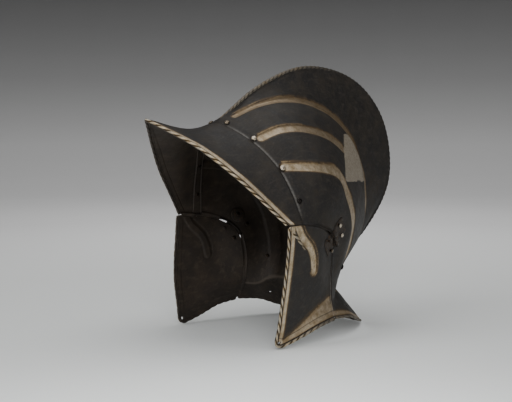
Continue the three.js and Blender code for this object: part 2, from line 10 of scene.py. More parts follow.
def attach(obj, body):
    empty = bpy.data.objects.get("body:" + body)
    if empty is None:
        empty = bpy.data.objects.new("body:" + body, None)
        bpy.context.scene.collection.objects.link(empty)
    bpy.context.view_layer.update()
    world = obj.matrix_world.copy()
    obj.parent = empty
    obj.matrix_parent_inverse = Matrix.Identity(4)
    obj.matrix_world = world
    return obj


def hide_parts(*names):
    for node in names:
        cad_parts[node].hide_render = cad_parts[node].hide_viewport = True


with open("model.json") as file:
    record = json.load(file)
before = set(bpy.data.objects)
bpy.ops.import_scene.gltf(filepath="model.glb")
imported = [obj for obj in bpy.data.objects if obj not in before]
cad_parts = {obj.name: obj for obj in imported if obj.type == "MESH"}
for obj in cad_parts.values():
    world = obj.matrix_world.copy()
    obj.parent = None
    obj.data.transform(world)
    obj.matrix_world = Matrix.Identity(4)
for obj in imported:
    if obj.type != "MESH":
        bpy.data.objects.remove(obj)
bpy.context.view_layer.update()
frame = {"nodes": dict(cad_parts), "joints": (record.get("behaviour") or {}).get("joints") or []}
mm = 0.001
farOut = -20 * mm  # well outside a band or a patch
neckRow = 8 / 9  # place of the neck crease along the skull's rails
print("frame loaded:", len(frame["nodes"]), "nodes")

# Sizes that the plates share, in metres, and the outlines as shares of the half width, length and height
helmet = {
    "halfWidth": 0.098, "length": 0.359, "height": 0.295, "forward": 0.0006754,
    "skullWall": 1.6 * mm, "peakWall": 1.5 * mm, "cheekWall": 1.5 * mm,
    "lapLength": 11 * mm, "plateGap": 0.35 * mm, "ropeRadius": 2.6 * mm,
}
skullRails = {
    "combEdge": [
        [0, -0.258, 0.776], [0, -0.088, 0.92], [0, 0.113, 1], [0, 0.336, 0.948], [0, 0.469, 0.79],
        [0, 0.497, 0.553], [0, 0.38, 0.349], [0, 0.219, 0.224], [0, 0.17, 0.146], [0, 0.248, 0.0139]],
    "combSide": [
        [0.04, -0.258, 0.776], [0.061, -0.093, 0.878], [0.071, 0.079, 0.929], [0.077, 0.263, 0.871],
        [0.071, 0.383, 0.732], [0.071, 0.419, 0.529], [0.071, 0.35, 0.347], [0.071, 0.216, 0.224],
        [0.061, 0.169, 0.146], [0.061, 0.248, 0.0139]],
    "upperBand": [
        [0.082, -0.258, 0.775], [0.133, -0.099, 0.849], [0.153, 0.04, 0.859], [0.163, 0.182, 0.802],
        [0.158, 0.291, 0.678], [0.148, 0.338, 0.508], [0.138, 0.313, 0.339], [0.133, 0.213, 0.224],
        [0.122, 0.168, 0.146], [0.122, 0.248, 0.0139]],
    "middleBand": [
        [0.48, -0.224, 0.708], [0.515, -0.127, 0.751], [0.52, -0.015, 0.751], [0.459, 0.107, 0.712],
        [0.418, 0.202, 0.624], [0.398, 0.252, 0.492], [0.367, 0.249, 0.353], [0.347, 0.174, 0.227],
        [0.327, 0.139, 0.157], [0.378, 0.243, 0.0139]],
    "lowerBand": [
        [0.724, -0.187, 0.62], [0.816, -0.124, 0.619], [0.867, -0.054, 0.612], [0.847, 0.018, 0.585],
        [0.801, 0.068, 0.515], [0.73, 0.116, 0.42], [0.633, 0.124, 0.315], [0.556, 0.106, 0.224],
        [0.52, 0.086, 0.167], [0.662, 0.155, 0.044]],
    "temple": [
        [0.878, -0.166, 0.525], [0.918, -0.11, 0.522], [0.934, -0.049, 0.515], [0.888, 0.013, 0.485],
        [0.827, 0.054, 0.434], [0.776, 0.077, 0.356], [0.714, 0.079, 0.281], [0.668, 0.068, 0.207],
        [0.658, 0.056, 0.139], [0.778, 0.089, 0.072]],
    "lowerEdge": [
        [0.971, -0.15, 0.426], [0.968, -0.106, 0.423], [0.941, -0.057, 0.406], [0.884, -0.016, 0.384],
        [0.823, 0.008, 0.351], [0.781, 0.017, 0.309], [0.753, 0.022, 0.254], [0.749, 0.023, 0.193],
        [0.765, 0.019, 0.14], [0.846, 0.011, 0.081]],
}
peakRails = {
    "middle": [[0, -0.355, 0.752], [0.133, -0.347, 0.741], [0.403, -0.319, 0.688], [0.646, -0.265, 0.608],
               [0.825, -0.223, 0.516], [0.955, -0.179, 0.428]],
    "edge": [[0, -0.492, 0.782], [0.15, -0.458, 0.752], [0.394, -0.402, 0.696], [0.638, -0.334, 0.609],
             [0.806, -0.267, 0.52], [0.947, -0.203, 0.43]],
}
cheekRails = [
    [[0.99, -0.204, 0.42], [0.992, -0.208, 0.339], [0.978, -0.216, 0.244], [0.951, -0.221, 0.163],
     [0.895, -0.221, 0.068], [0.857, -0.225, 0.008]],
    [[0.985, -0.143, 0.42], [0.969, -0.143, 0.342], [0.945, -0.143, 0.247], [0.925, -0.15, 0.169],
     [0.882, -0.153, 0.083], [0.872, -0.153, 0.031]],
    [[0.952, -0.073, 0.405], [0.923, -0.068, 0.339], [0.888, -0.062, 0.247], [0.862, -0.062, 0.183],
     [0.832, -0.064, 0.129], [0.886, -0.068, 0.065]],
    [[0.852, -0.006, 0.364], [0.79, 0.009, 0.318], [0.748, 0.016, 0.244], [0.75, 0.016, 0.183],
     [0.765, 0.012, 0.14], [0.852, 0.004, 0.08]],
]
boxSizes = np.array([helmet["halfWidth"], helmet["length"], helmet["height"]])
headCentre = np.array([0, helmet["forward"], helmet["height"] / 2])
mirror = np.array([-1, 1, 1])


def fromShares(shares):
    return np.array(shares, float) * boxSizes + [0, helmet["forward"], 0]


rails = {name: fromShares(shares) for name, shares in skullRails.items()}
cheekControls = fromShares(cheekRails)


# Vectors, curves and grids
def unit(vectors):
    return vectors / np.maximum(np.linalg.norm(vectors, axis=-1, keepdims=True), 1e-12)


def dot(a, b):
    return (a * b).sum(-1, keepdims=True)


def smooth(value, low, high):
    share = np.clip((value - low) / (high - low), 0, 1)
    return share * share * (3 - 2 * share)


def ridge(distance, middle, width):
    return np.exp(-((distance - middle) / width) ** 2)


# Smooth curves through control points (..., n, 3), read at m shares of their length
def splinePoints(controls, shares):
    controls = np.asarray(controls, float)
    first = 2 * controls[..., :1, :] - controls[..., 1:2, :]
    last = 2 * controls[..., -1:, :] - controls[..., -2:-1, :]
    knots = np.concatenate([first, controls, last], axis=-2)
    position = np.clip(np.asarray(shares, float), 0, 1) * (controls.shape[-2] - 1)
    segment = np.minimum(position.astype(int), controls.shape[-2] - 2)
    w = (position - segment)[:, None]
    a, b, c, d = (knots[..., segment + k, :] for k in range(4))
    before, across, after = (np.maximum(np.linalg.norm(q - p, axis=-1, keepdims=True), 1e-9) ** 0.5
                             for p, q in ((a, b), (b, c), (c, d)))
    start = ((b - a) / before - (c - a) / (before + across) + (c - b) / across) * across
    end = ((c - b) / across - (d - b) / (across + after) + (d - c) / after) * across
    return b + start * w + (3 * (c - b) - 2 * start - end) * w ** 2 + (2 * (b - c) + start + end) * w ** 3


# A rail is smooth down to the neck crease and a straight flare below it
def railPoints(rail, along):
    crease = len(rail) - 2
    position = np.asarray(along, float) * (len(rail) - 1)
    curve = splinePoints(rail[:-1], np.minimum(position / crease, 1))
    flare = rail[-2] + (rail[-1] - rail[-2]) * (position - crease)[:, None]
    return np.where((position > crease)[:, None], flare, curve)


def vaultPoints(along, across):
    names = ("upperBand", "middleBand", "lowerBand", "temple", "lowerEdge")
    side = np.stack([railPoints(rails[name], along) for name in names], axis=1)
    section = np.concatenate([(side * mirror)[:, ::-1], side[:, :1] * [0, 1, 1], side], axis=1)
    return splinePoints(section, (1 + np.asarray(across)) / 2)


def cheekPoints(along, across):
    return splinePoints(np.stack([railPoints(rail, along) for rail in cheekControls], axis=1), across)


def pointsAt(surface, along, across):
    flat = np.stack([surface([a], [b])[0, 0] for a, b in zip(np.ravel(along), np.ravel(across))])
    return flat.reshape(*np.shape(along), 3)


# A point of a surface and the way out from the head there
def seatOn(surface, along, across, step=0.002):
    point, low, high, left, right = pointsAt(surface, along + step * np.array([0, -1, 1, 0, 0]),
                                             across + step * np.array([0, 0, 0, -1, 1]))
    normal = unit(np.cross(high - low, right - left))
    return point, normal if normal @ (point - headCentre) > 0 else -normal


def gridNormals(grid):
    normals = unit(np.cross(np.gradient(grid, axis=0), np.gradient(grid, axis=1)))
    i, j = grid.shape[0] // 2, grid.shape[1] // 2
    return normals if dot(normals[i, j], grid[i, j] - headCentre) > 0 else -normals


# Both halves of a grid of points or of marks, from its left half and, where it differs, its right one
def fullGrid(half, other=None):
    other = half if other is None else other
    return np.concatenate([(other * (mirror if half.ndim == 3 else 1))[:, :0:-1], half], axis=1)


def halfNormals(half):
    return gridNormals(fullGrid(half))[:, half.shape[1] - 1:]


# Places from 0 to 1 that lie closer together where the density is high
def spread(count, density):
    fine = np.linspace(0, 1, 4001)
    weight = np.cumsum(np.r_[0, density((fine[1:] + fine[:-1]) / 2)])
    return np.interp(np.linspace(0, weight[-1], count), weight, fine)


# Distance from points to a line of segments
def lineDistance(points, line):
    flat = points.reshape(-1, 3).astype(np.float32)
    best = np.full(len(flat), np.inf, np.float32)
    for start, step in zip(line[:-1].astype(np.float32), np.diff(line, axis=0).astype(np.float32)):
        reach = flat - start
        reach -= np.clip(reach @ step / max(float(step @ step), 1e-16), 0, 1)[:, None] * step
        best = np.minimum(best, (reach * reach).sum(-1))
    return np.sqrt(best).reshape(points.shape[:-1]).astype(float)


# Distance along a grid's columns from its first row, or from its last
def columnDistance(grid, fromLast=False):
    rows = grid[::-1] if fromLast else grid
    steps = np.linalg.norm(np.diff(rows, axis=0), axis=-1)
    travelled = np.concatenate([np.zeros((1, grid.shape[1])), np.cumsum(steps, axis=0)])
    return travelled[::-1] if fromLast else travelled


# Soft dents of hand hammering: a few crossed waves of about 18 to 60 mm
def hammered(points, depth):
    waves = [((97, 151, 60), 0.4), ((-173, 88, 131), 2.1), ((211, -64, 187), 4.4), ((52, 233, -149), 5.2),
             ((-120, 40, 260), 1.3)]
    return depth * sum(np.sin(points @ np.array(wave, float) + phase) for wave, phase in waves) / len(waves)


# Marks tell the finish where bands, ropes, edge wear, painted highlights, painted shadow and the inside are;
# bright and patch are distances in mm
restMarks = {"bright": farOut / mm, "patch": farOut / mm, "inside": 0.0, "groove": 0.0, "rope": 0.0,
             "wear": 0.0}


def addPart(parts, points, faces, **marks):
    points = np.asarray(points, float).reshape(-1, 3)
    values = {name: np.broadcast_to(np.asarray(marks.get(name, rest), float).ravel(), (len(points),))
              for name, rest in restMarks.items()}
    parts.append((points, faces, values))


def mirrored(parts):
    return [(points * mirror, faces, marks) for points, faces, marks in parts]


def gridFaces(rows, columns):
    index = np.arange(rows * columns).reshape(rows, columns)
    return np.stack([index[:-1, :-1], index[1:, :-1], index[1:, 1:], index[:-1, 1:]], -1).reshape(-1, 4)


# Faces of a closed tube: rings of points one after another, then its two end points
def tubeFaces(rings, turns):
    index = np.arange(rings * turns).reshape(rings, turns)
    after = np.roll(index, -1, 1)
    sides = np.stack([index[:-1], after[:-1], after[1:], index[1:]], -1).reshape(-1, 4)
    ends = [(index.size, after[0, k], index[0, k]) for k in range(turns)]
    ends += [(index.size + 1, index[-1, k], after[-1, k]) for k in range(turns)]
    return [*map(tuple, sides), *ends]


def lastRow(grid):
    return [(len(grid) - 1, j) for j in range(grid.shape[1])]


def borderOf(rows, columns):
    top = [(0, j) for j in range(columns)]
    right = [(i, columns - 1) for i in range(1, rows)]
    bottom = [(rows - 1, j) for j in range(columns - 2, -1, -1)]
    left = [(i, 0) for i in range(rows - 2, 0, -1)]
    return np.array(top + right + bottom + left)


# Middle, up and out of a plate's edge at each border point, and its half thickness
def edgeFrames(outer, inner, border, closed):
    i, j = border.T
    top, bottom = outer[i, j], inner[i, j]
    middle, up = (top + bottom) / 2, unit(top - bottom)
    run = np.roll(middle, -1, 0) - np.roll(middle, 1, 0) if closed else np.gradient(middle, axis=0)
    out = unit(np.cross(run, up))
    inside = outer[np.clip(i, 1, outer.shape[0] - 2), np.clip(j, 1, outer.shape[1] - 2)]
    out *= np.where(dot(out, top - inside) < 0, -1, 1)
    return middle, up, out, np.linalg.norm(top - bottom, axis=1) / 2


# Steps round a plate's edge, and how far round and along its axis a hole takes faces away
plateMesh = {"edgeSteps": 6, "holeMargin": 1.15, "holeReach": 8 * mm}


# A closed plate between two grids, its edge rounded by a half circle, with round holes bored through
def addPlate(parts, outer, inner, marks, holes=()):
    steps = plateMesh["edgeSteps"]
    rows, columns = outer.shape[:2]
    count = rows * columns
    quads = gridFaces(rows, columns)
    flatOuter, flatInner = outer.reshape(-1, 3).copy(), inner.reshape(-1, 3).copy()
    gone = np.zeros(len(quads), bool)
    bridges = []
    for point, axis, radius in holes:
        reach = flatOuter - point
        depth = dot(reach, axis)
        near = np.linalg.norm(reach - depth * axis, axis=1) < radius * plateMesh["holeMargin"]
        near &= abs(depth[:, 0]) < plateMesh["holeReach"]
        hit = near[quads].any(1) & ~gone
        gone |= hit
        edges = {(a, b) for quad in quads[hit] for a, b in zip(quad, np.roll(quad, -1))}
        edges = sorted((a, b) for a, b in edges if (b, a) not in edges)
        ring = np.unique(edges)
        for flat in (flatOuter, flatInner):
            reach = flat[ring] - point
            depth = dot(reach, axis)
            flat[ring] = point + depth * axis + unit(reach - depth * axis) * radius
        bridges += [(a, b, b + count, a + count) for a, b in edges]
    border = borderOf(rows, columns)
    middle, up, out, half = edgeFrames(outer, inner, border, True)
    rims, rimPoints = [border @ [columns, 1]], []
    for k in range(1, steps):
        angle = math.pi / 2 - math.pi * k / steps
        rims.append(2 * count + (k - 1) * len(border) + np.arange(len(border)))
        rimPoints.append(middle + half[:, None] * (math.cos(angle) * out + math.sin(angle) * up))
    rims.append(rims[0] + count)
    keep = quads[~gone]
    faces = [keep, keep[:, ::-1] + count]
    faces += [np.stack([a, b, np.roll(b, -1), np.roll(a, -1)], -1) for a, b in zip(rims[:-1], rims[1:])]
    if bridges:
        faces.append(np.array(bridges))
    values = {}
    for name, rest in restMarks.items():
        under = {"inside": 1.0, "wear": marks.get("under", rest)}.get(name, rest)
        upper, under = (np.broadcast_to(np.asarray(mark, float), (rows, columns))
                        for mark in (marks.get(name, rest), under))
        growth = 1 / steps if name == "inside" else 0
        edges = [upper[tuple(border.T)] + k * growth for k in range(1, steps)]
        values[name] = np.concatenate([upper.ravel(), under.ravel(), *edges])
    addPart(parts, np.concatenate([flatOuter, flatInner, *rimPoints]), np.concatenate(faces), **values)


# A turned edge filed into rope strands: a closed bead along a line; inner is how dark its inner side is
def addRope(parts, centre, up, out, settings, shine):
    run = np.r_[0, np.cumsum(np.linalg.norm(np.diff(centre, axis=0), axis=1))]
    count = int(run[-1] / settings["step"]) + 1
    s = np.linspace(0, run[-1], count)
    line, upward, outward = (np.stack([np.interp(s, run, v[:, k]) for k in range(3)], 1)
                             for v in (centre, up, out))
    tangent = unit(np.gradient(line, axis=0))
    upward = unit(upward - dot(upward, tangent) * tangent)
    outward = unit(outward - dot(outward, tangent) * tangent - dot(outward, upward) * upward)
    radius = settings["radius"] * np.interp(s, run, np.broadcast_to(settings.get("scale", 1.0), run.shape))
    end = np.clip(np.minimum(s, run[-1] - s) / radius, 0, 1)
    radius = radius * np.sqrt(np.maximum(1 - (1 - end) ** 2, settings["endLeast"]))
    turns = settings["around"]
    around = np.arange(turns) * 2 * math.pi / turns
    wander = sum(part * np.sin(s[:, None] * wave + start) for part, wave, start in settings["wander"])
    phase = s[:, None] / settings["pitch"] + wander - settings["twist"] * around / (2 * math.pi)
    strand = np.abs(np.sin(math.pi * phase)) ** settings["roundness"]
    r = radius[:, None] * (1 - settings["depth"] * (1 - strand))
    ring = np.cos(around)[:, None] * outward[:, None]
    ring = ring + settings["flat"] * np.sin(around)[:, None] * upward[:, None]
    points = line[:, None] + r[..., None] * ring
    bright = np.interp(s, run, np.broadcast_to(shine, run.shape))
    hidden = settings["inner"] * smooth(-np.sin(around), -0.3, 0.5) * np.ones((count, 1))
    shown = 1 - settings["inner"] * (1 - smooth(np.cos(around), -0.95, -0.45))
    addPart(parts, np.concatenate([points.reshape(-1, 3), line[:1], line[-1:]]), tubeFaces(count, turns),
            groove=np.r_[(1 - strand).ravel(), 0.5, 0.5], inside=np.r_[hidden.ravel(), 0, 0],
            rope=np.r_[(bright[:, None] * shown).ravel(), bright[0], bright[-1]])


# A rope along a plate's edge, wider than the plate and joined to it where the two are equally thick
def addRimRope(parts, outer, inner, border, wall, settings, shine):
    middle, up, out, _ = edgeFrames(outer, inner, np.array(border), False)
    reach = math.sqrt(settings["radius"] ** 2 - (wall / 2) ** 2)
    addRope(parts, middle + out * reach, up, out, settings, shine)


# Volume of closed faces, which is negative when they look inward
def partVolume(points, faces):
    total = 0.0
    for size in {len(face) for face in faces}:
        corners = points[np.array([face for face in faces if len(face) == size])]
        for k in range(1, size - 1):
            total += (corners[:, 0] * np.cross(corners[:, k], corners[:, k + 1])).sum()
    return total


def addPiece(name, parts, material, body, node):
    points, faces, marks, offset = [], [], {mark: [] for mark in restMarks}, 0
    for partPoints, partFaces, partMarks in parts:
        outward = partVolume(partPoints, partFaces) > 0
        faces += [tuple(int(k) + offset for k in (face if outward else face[::-1])) for face in partFaces]
        points.append(partPoints)
        offset += len(partPoints)
        for mark, values in partMarks.items():
            marks[mark].append(values)
    points = np.concatenate(points)
    points[:, 2] = np.maximum(points[:, 2], 0)
    used = np.zeros(len(points), bool)
    used[[k for face in faces for k in face]] = True
    fresh = (np.cumsum(used) - 1).tolist()
    mesh = bpy.data.meshes.new(name)
    mesh.from_pydata(points[used].tolist(), [], [tuple(fresh[k] for k in face) for face in faces])
    for mark, values in marks.items():
        values = np.concatenate(values)[used].astype(np.float32)
        mesh.attributes.new(mark, "FLOAT", "POINT").data.foreach_set("value", values)
    mesh.polygons.foreach_set("use_smooth", np.ones(len(mesh.polygons), bool))
    mesh.update()
    mesh.materials.append(material)
    piece = bpy.data.objects.new(name, mesh)
    bpy.context.collection.objects.link(piece)
    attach(piece, body)
    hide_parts(node)


def nodePoints(node):
    points = np.array([vertex.co[:] for vertex in frame["nodes"][node].data.vertices])
    return np.unique(points.round(7), axis=0)


# Relief of a sunken band between two raised lips, by the distance inside its edge
def bandRelief(inside, depth, lip):
    return lip * ridge(inside, -1.5 * mm, 0.75 * mm) - depth * smooth(inside, -0.5 * mm, 0.9 * mm)


# Ropes; depth is a share of the radius, step and around set the mesh, and wander is the uneven filing:
# shares of a strand, radians per metre and starts
ropeEdge = {"twist": 2, "depth": 0.32, "roundness": 0.85, "step": 0.8 * mm, "around": 18, "inner": 1,
            "flat": 1, "endLeast": 0.02, "wander": ((0.06, 71, 0), (0.05, 163, 1))}
crestRope = dict(ropeEdge, radius=2.2 * mm, pitch=6.6 * mm, depth=0.28, roundness=0.9, step=0.9 * mm,
                 around=14, inner=0)
rimRope = dict(ropeEdge, radius=1.5 * mm, pitch=9.5 * mm)
peakRope = dict(ropeEdge, radius=1.7 * mm, pitch=10.5 * mm, around=20)
lobeRope = dict(ropeEdge, radius=2.3 * mm, pitch=8 * mm, depth=0.3, step=0.6 * mm, around=16, inner=0,
                flat=0.5)

# Skull; a band has its path (along, across, half width in mm), its ends left and right, and its lip's end
print("skull")
skull = {
    "rows": 226, "sideColumns": 13, "vaultColumns": 68, "browTaper": 8 * mm, "browEdge": 0.6 * mm,
    "combTop": [(0, 0, 0.6), (1 * mm, 1 * mm, 0.8), (2 * mm, 1.7 * mm, 1.4), (3 * mm, 1.9 * mm, 2.3)],
    "combFade": 11 * mm, "combInset": 0.06, "hollowStart": 16 * mm, "hollowFull": 30 * mm,
    "dents": 0.32 * mm, "bandDepth": 0.9 * mm, "bandLip": 0.4 * mm, "lipGap": 1.5 * mm, "lipHalf": 0.42 * mm,
    "bands": {
        "upper": ([(0.034, 0.208, 3.3), (0.15, 0.208, 4.3), (0.3, 0.21, 5.5), (0.42, 0.22, 6),
                   (0.53, 0.28, 7.5), (0.66, 0.29, 7.5), (0.86, 0.25, 5.5)], 0.86, 0.86, 0.3),
        "middle": ([(0.03, 0.402, 4.3), (0.2, 0.402, 5), (0.372, 0.402, 6.5), (0.6, 0.44, 6.5),
                    (0.87, 0.44, 5)], 0.372, 0.87, 0.2),
        "lower": ([(0.03, 0.598, 4.3), (0.2, 0.598, 4.5), (0.36, 0.58, 7.3), (0.6, 0.598, 8.6),
                   (0.885, 0.598, 7)], 0.885, 0.885, 0.32)},
    "patch": [(0.3709, 0.2925), (0.39, 0.25), (0.4083, 0.2191), (0.4543, 0.2269), (0.4843, 0.2336),
              (0.5057, 0.2392), (0.5197, 0.2937), (0.5163, 0.3571), (0.4743, 0.4805), (0.4249, 0.5473),
              (0.4096, 0.5551), (0.3923, 0.4594), (0.3769, 0.3337)],
    "rimFrom": 1.2 * mm, "rimTo": 6 * mm, "rimLine": 0.3 * mm, "rivetRing": 6.2 * mm, "creaseHighlight": 0.8,
    "browWearAndHighlight": 0.7, "browLine": (0.7 * mm, 1.4 * mm), "browFrom": (0.2, 0.34), "browTo": (0.86, 0.97),
    "laceHole": (0.955, 0.67), "laceRadius": 1.6 * mm, "crestSteps": 1200, "crestFrom": 2.2 * mm,
    "crestThin": 0.45, "crestShine": 0.32, "crestDulls": (0.1, 0.33), "rimShine": 0.25,
    "sideReach": [(0.6 * mm, 0.03, 0.06, 0.24, 0.28), (1.2 * mm, 0.5, 0.56, 0.97, 0.995)],
}
# The rows crowd at the brow and the rim, the columns at the bands
rowPlaces = spread(skull["rows"], lambda a: 1 + 5 * np.exp(-a / 0.012) + 1.5 * np.exp(-(1 - a) / 0.02))
rowPlaces[np.argmin(abs(rowPlaces - neckRow))] = neckRow
combCount = len(skull["combTop"]) - 1 + skull["sideColumns"]
halfAcross = np.r_[0.2 * np.arange(combCount) / combCount, 0.2 + 0.8 * spread(
    skull["vaultColumns"], lambda a: 0.35 + sum(ridge(a, b, 0.045) for b in (0.0, 0.25, 0.5)))]


# Comb sections: the points of the top, by half width where the comb is low or high and depth in rope radii,
# and the fold from its neck to the root
def combFrame(along):
    crest, side, root = (railPoints(rails[name], along) for name in ("combEdge", "combSide", "upperBand"))
    inward = unit(side * [0, 1, 1] - crest)
    height = np.linalg.norm(root * [0, 1, 1] - crest, axis=1)
    rise = smooth(height, 0, skull["combFade"])[:, None]
    *tops, neck = [(crest + [flat, 0, 0]) * (1 - rise)
                   + (crest + inward * depth * helmet["ropeRadius"] + [half, 0, 0]) * rise
                   for flat, half, depth in skull["combTop"]]
    return height, inward, crest, tops, np.stack([neck, side, root], axis=1)


def combOuter(along):
    tops, fold = combFrame(along)[3:]
    sideShares = np.arange(skull["sideColumns"]) / skull["sideColumns"]
    return np.concatenate([np.stack(tops, axis=1), splinePoints(fold, sideShares)], axis=1)


def combInner(along, closed):
    height, _, _, _, fold = combFrame(along)
    column = np.arange(combCount)
    shares = skull["combInset"] + (1 - skull["combInset"]) * (column / combCount) ** 2.2
    tangent = unit(splinePoints(fold, shares + 0.01) - splinePoints(fold, shares - 0.01))
    point = splinePoints(fold, shares) + unit(tangent[..., :1] * tangent - [1, 0, 0]) * helmet["skullWall"]
    point[..., 0] = np.maximum(point[..., 0], column * 0.1 * mm)
    point[:, 0, 0] = 0
    hollow = smooth(height, skull["hollowStart"], skull["hollowFull"])[:, None, None]
    return closed * (1 - hollow) + point * hollow


halfVault = vaultPoints(rowPlaces, halfAcross)
halfUp = halfNormals(halfVault)
halfOuter = np.concatenate([combOuter(rowPlaces), halfVault[:, combCount:]], axis=1)
outerUp = halfNormals(halfOuter)
rimGap = columnDistance(halfVault, fromLast=True)
rimInside = np.where((rowPlaces > neckRow)[:, None],
                     np.minimum(rimGap - skull["rimFrom"], skull["rimTo"] - rimGap), farOut)
browGap = columnDistance(halfOuter)
taper = (helmet["skullWall"] - skull["browEdge"]) * (1 - smooth(browGap, 0, skull["browTaper"]))
skullDents = hammered(halfOuter, skull["dents"]) * smooth(browGap, 0, 10 * mm)


# Where one half of the skull is bright, and its relief: sunken bands with a thin lip on the crown side
def halfBands(side):
    bands = np.full(halfOuter.shape[:2], farOut)
    lips = bands.copy()
    for path, leftEnd, rightEnd, lipEnd in skull["bands"].values():
        places, shares, widths = np.array(path).T
        run = np.linspace(places[0], leftEnd if side == "left" else rightEnd, 160)
        distance = lineDistance(halfOuter, pointsAt(vaultPoints, run, np.interp(run, places, shares)))
        half = np.interp(rowPlaces, places, widths)[:, None] * mm
        bands = np.maximum(bands, half - distance)
        lipRows = ((rowPlaces > places[0]) & (rowPlaces < lipEnd))[:, None]
        crownSide = lipRows & (halfAcross < np.interp(rowPlaces, places, shares)[:, None])
        lipHalf = skull["lipHalf"] * (1 - 0.6 * rowPlaces / lipEnd)[:, None]
        besideLip = lipHalf - abs(distance - half - skull["lipGap"])
        lips = np.maximum(lips, np.where(crownSide, besideLip, farOut))
    relief = bandRelief(bands, skull["bandDepth"], skull["bandLip"])
    relief -= skull["rimLine"] * ridge(rimGap, 0.9 * mm, 0.6 * mm)
    return np.maximum.reduce([bands, rimInside, lips]), (relief + skullDents)[..., None]


# Painted shadow: dark rings round the rivet heads, carried in the groove mark
def rivetShadows(points, nodes):
    shade = np.zeros(points.shape[:-1])
    for node in nodes:
        corners = nodePoints(node)
        top = corners[np.linalg.norm(corners - headCentre, axis=1).argmax()]
        distance = np.linalg.norm(points - top, axis=-1)
        shade = np.maximum(shade, 0.85 * np.exp(-(distance / skull["rivetRing"]) ** 6))
    return shade


# Signed distance inside the outline of the bare patch, which is on the left half only
def patchInside(points):
    closed = np.array(skull["patch"] + skull["patch"][:1])
    distance = lineDistance(points, pointsAt(vaultPoints, *closed.T))
    a, b = np.meshgrid(rowPlaces, halfAcross, indexing="ij")
    inside = np.zeros(a.shape, bool)
    for (a0, b0), (a1, b1) in zip(closed[:-1], closed[1:]):
        inside ^= ((a0 > a) != (a1 > a)) & (b < b0 + (a - a0) * (b1 - b0) / (a1 - a0 + 1e-12))
    return np.where(inside, distance, -distance)


leftBright, leftShift = halfBands("left")
rightBright, rightShift = halfBands("right")

# The side edge reaches nearer to the cheekpiece than in the CAD, but for the hinge's stretch
edgeReach = sum(far * smooth(rowPlaces, a, b) * (1 - smooth(rowPlaces, c, d))
                for far, a, b, c, d in skull["sideReach"])
sideShift = np.zeros_like(halfVault)
for k, part in ((-1, 1), (-2, 0.6), (-3, 0.25)):
    sideShift[:, k] = unit(halfVault[:, -1] - halfVault[:, -2]) * (edgeReach * part)[:, None]
halfOuter, halfVault = halfOuter + sideShift, halfVault + sideShift
bareInner = halfVault - halfUp * helmet["skullWall"]


def halfInside(shift):
    inner = bareInner + halfUp * shift * (np.arange(len(halfAcross)) >= combCount)[:, None]
    inner[:, :combCount] = combInner(rowPlaces, inner[:, :combCount])
    return inner


def holes(surface, settings, both):
    point, axis = seatOn(surface, *settings["laceHole"])
    return [(point * sign, axis * sign, settings["laceRadius"]) for sign in ((1, mirror) if both else (1,))]


skullOuter = fullGrid(*(halfOuter + outerUp * (shift - taper[..., None])
                        for shift in (leftShift, rightShift)))
skullInner = fullGrid(halfInside(leftShift), halfInside(rightShift))
browShown = smooth(halfAcross, *skull["browFrom"]) * (1 - smooth(halfAcross, *skull["browTo"]))
shadowedRivets = [f"left_peak_rivet_{k}" for k in (2, 3)] + [f"left_hinge_skull_rivet_{k}" for k in (1, 2)]
patchHalf = patchInside(halfOuter)
skullParts = []
addPlate(skullParts, skullOuter, skullInner, {
    "bright": fullGrid(leftBright, rightBright) / mm,
    "patch": fullGrid(patchHalf, np.full_like(patchHalf, farOut)) / mm,
    # a light line along the brow edge, partly edge wear and partly painted highlight
    "wear": fullGrid(skull["browWearAndHighlight"] * ridge(browGap, *skull["browLine"]) * browShown),
    # the groove mark also holds the painted shadow rings round the rivets
    "groove": fullGrid(rivetShadows(halfOuter, shadowedRivets)),
    # painted highlight along the neck crease on the inside
    "under": skull["creaseHighlight"] * ridge(rowPlaces, neckRow, 0.004)[:, None],
}, holes(vaultPoints, skull, True))

# Lip inside a plate's side edge, behind the cheekpiece's upper edge, which covers the seam
lip = {"root": 2.5 * mm, "reach": 3.4 * mm, "clear": 0.3 * mm, "thickness": 0.6 * mm, "columns": 4,
       "skullStretches": (((0.03, 0.25), (0.1, 6)), ((0.5, 0.997), (6, 0.1))),  # none along the hinge
       "peakSpare": 4, "peakEnds": (0.1, 5)}


def addLip(parts, grid, up, rows, wall, ends):
    edge, beyond = grid[rows, -1], unit(grid[rows, -1] - grid[rows, -2])
    row = np.arange(len(rows))
    far = lip["reach"] * smooth(row, -1, ends[0]) * smooth(len(rows) - 1 - row, -1, ends[1])
    columns = np.linspace(0.2, 1, lip["columns"])[:, None] * far
    reach = np.concatenate([[np.full(len(rows), -lip["root"])], columns]).T
    inward = -up[rows, -1][:, None]
    sheet = edge[:, None] + beyond[:, None] * reach[..., None] + inward * (wall + lip["clear"])
    under = sheet + inward * lip["thickness"]
    for sign in (1, mirror):
        addPlate(parts, sheet * sign, under * sign, {"inside": 1.0})


for (start, stop), ends in lip["skullStretches"]:
    lipRows = np.nonzero((rowPlaces > start) & (rowPlaces < stop))[0]
    addLip(skullParts, halfVault, halfUp, lipRows, helmet["skullWall"], ends)

# The rope along the crest, where the comb is high enough, and the one along the nape rim
crestAlong = np.linspace(0, 1, skull["crestSteps"])
height, inward, crest, _, _ = combFrame(crestAlong)
high = height > skull["crestFrom"]
crestRise = smooth(height, 0, skull["combFade"])[:, None]
crestScale = skull["crestThin"] + (1 - skull["crestThin"]) * smooth(height[high], 2 * mm, skull["combFade"])
addRope(skullParts, (crest + inward * helmet["ropeRadius"] * crestRise)[high], -inward[high],
        np.broadcast_to([1.0, 0, 0], inward[high].shape), dict(crestRope, scale=crestScale),
        skull["crestShine"] * (1 - smooth(crestAlong[high], *skull["crestDulls"])))
addRimRope(skullParts, skullOuter, skullInner, lastRow(skullOuter), helmet["skullWall"], rimRope,
           skull["rimShine"])

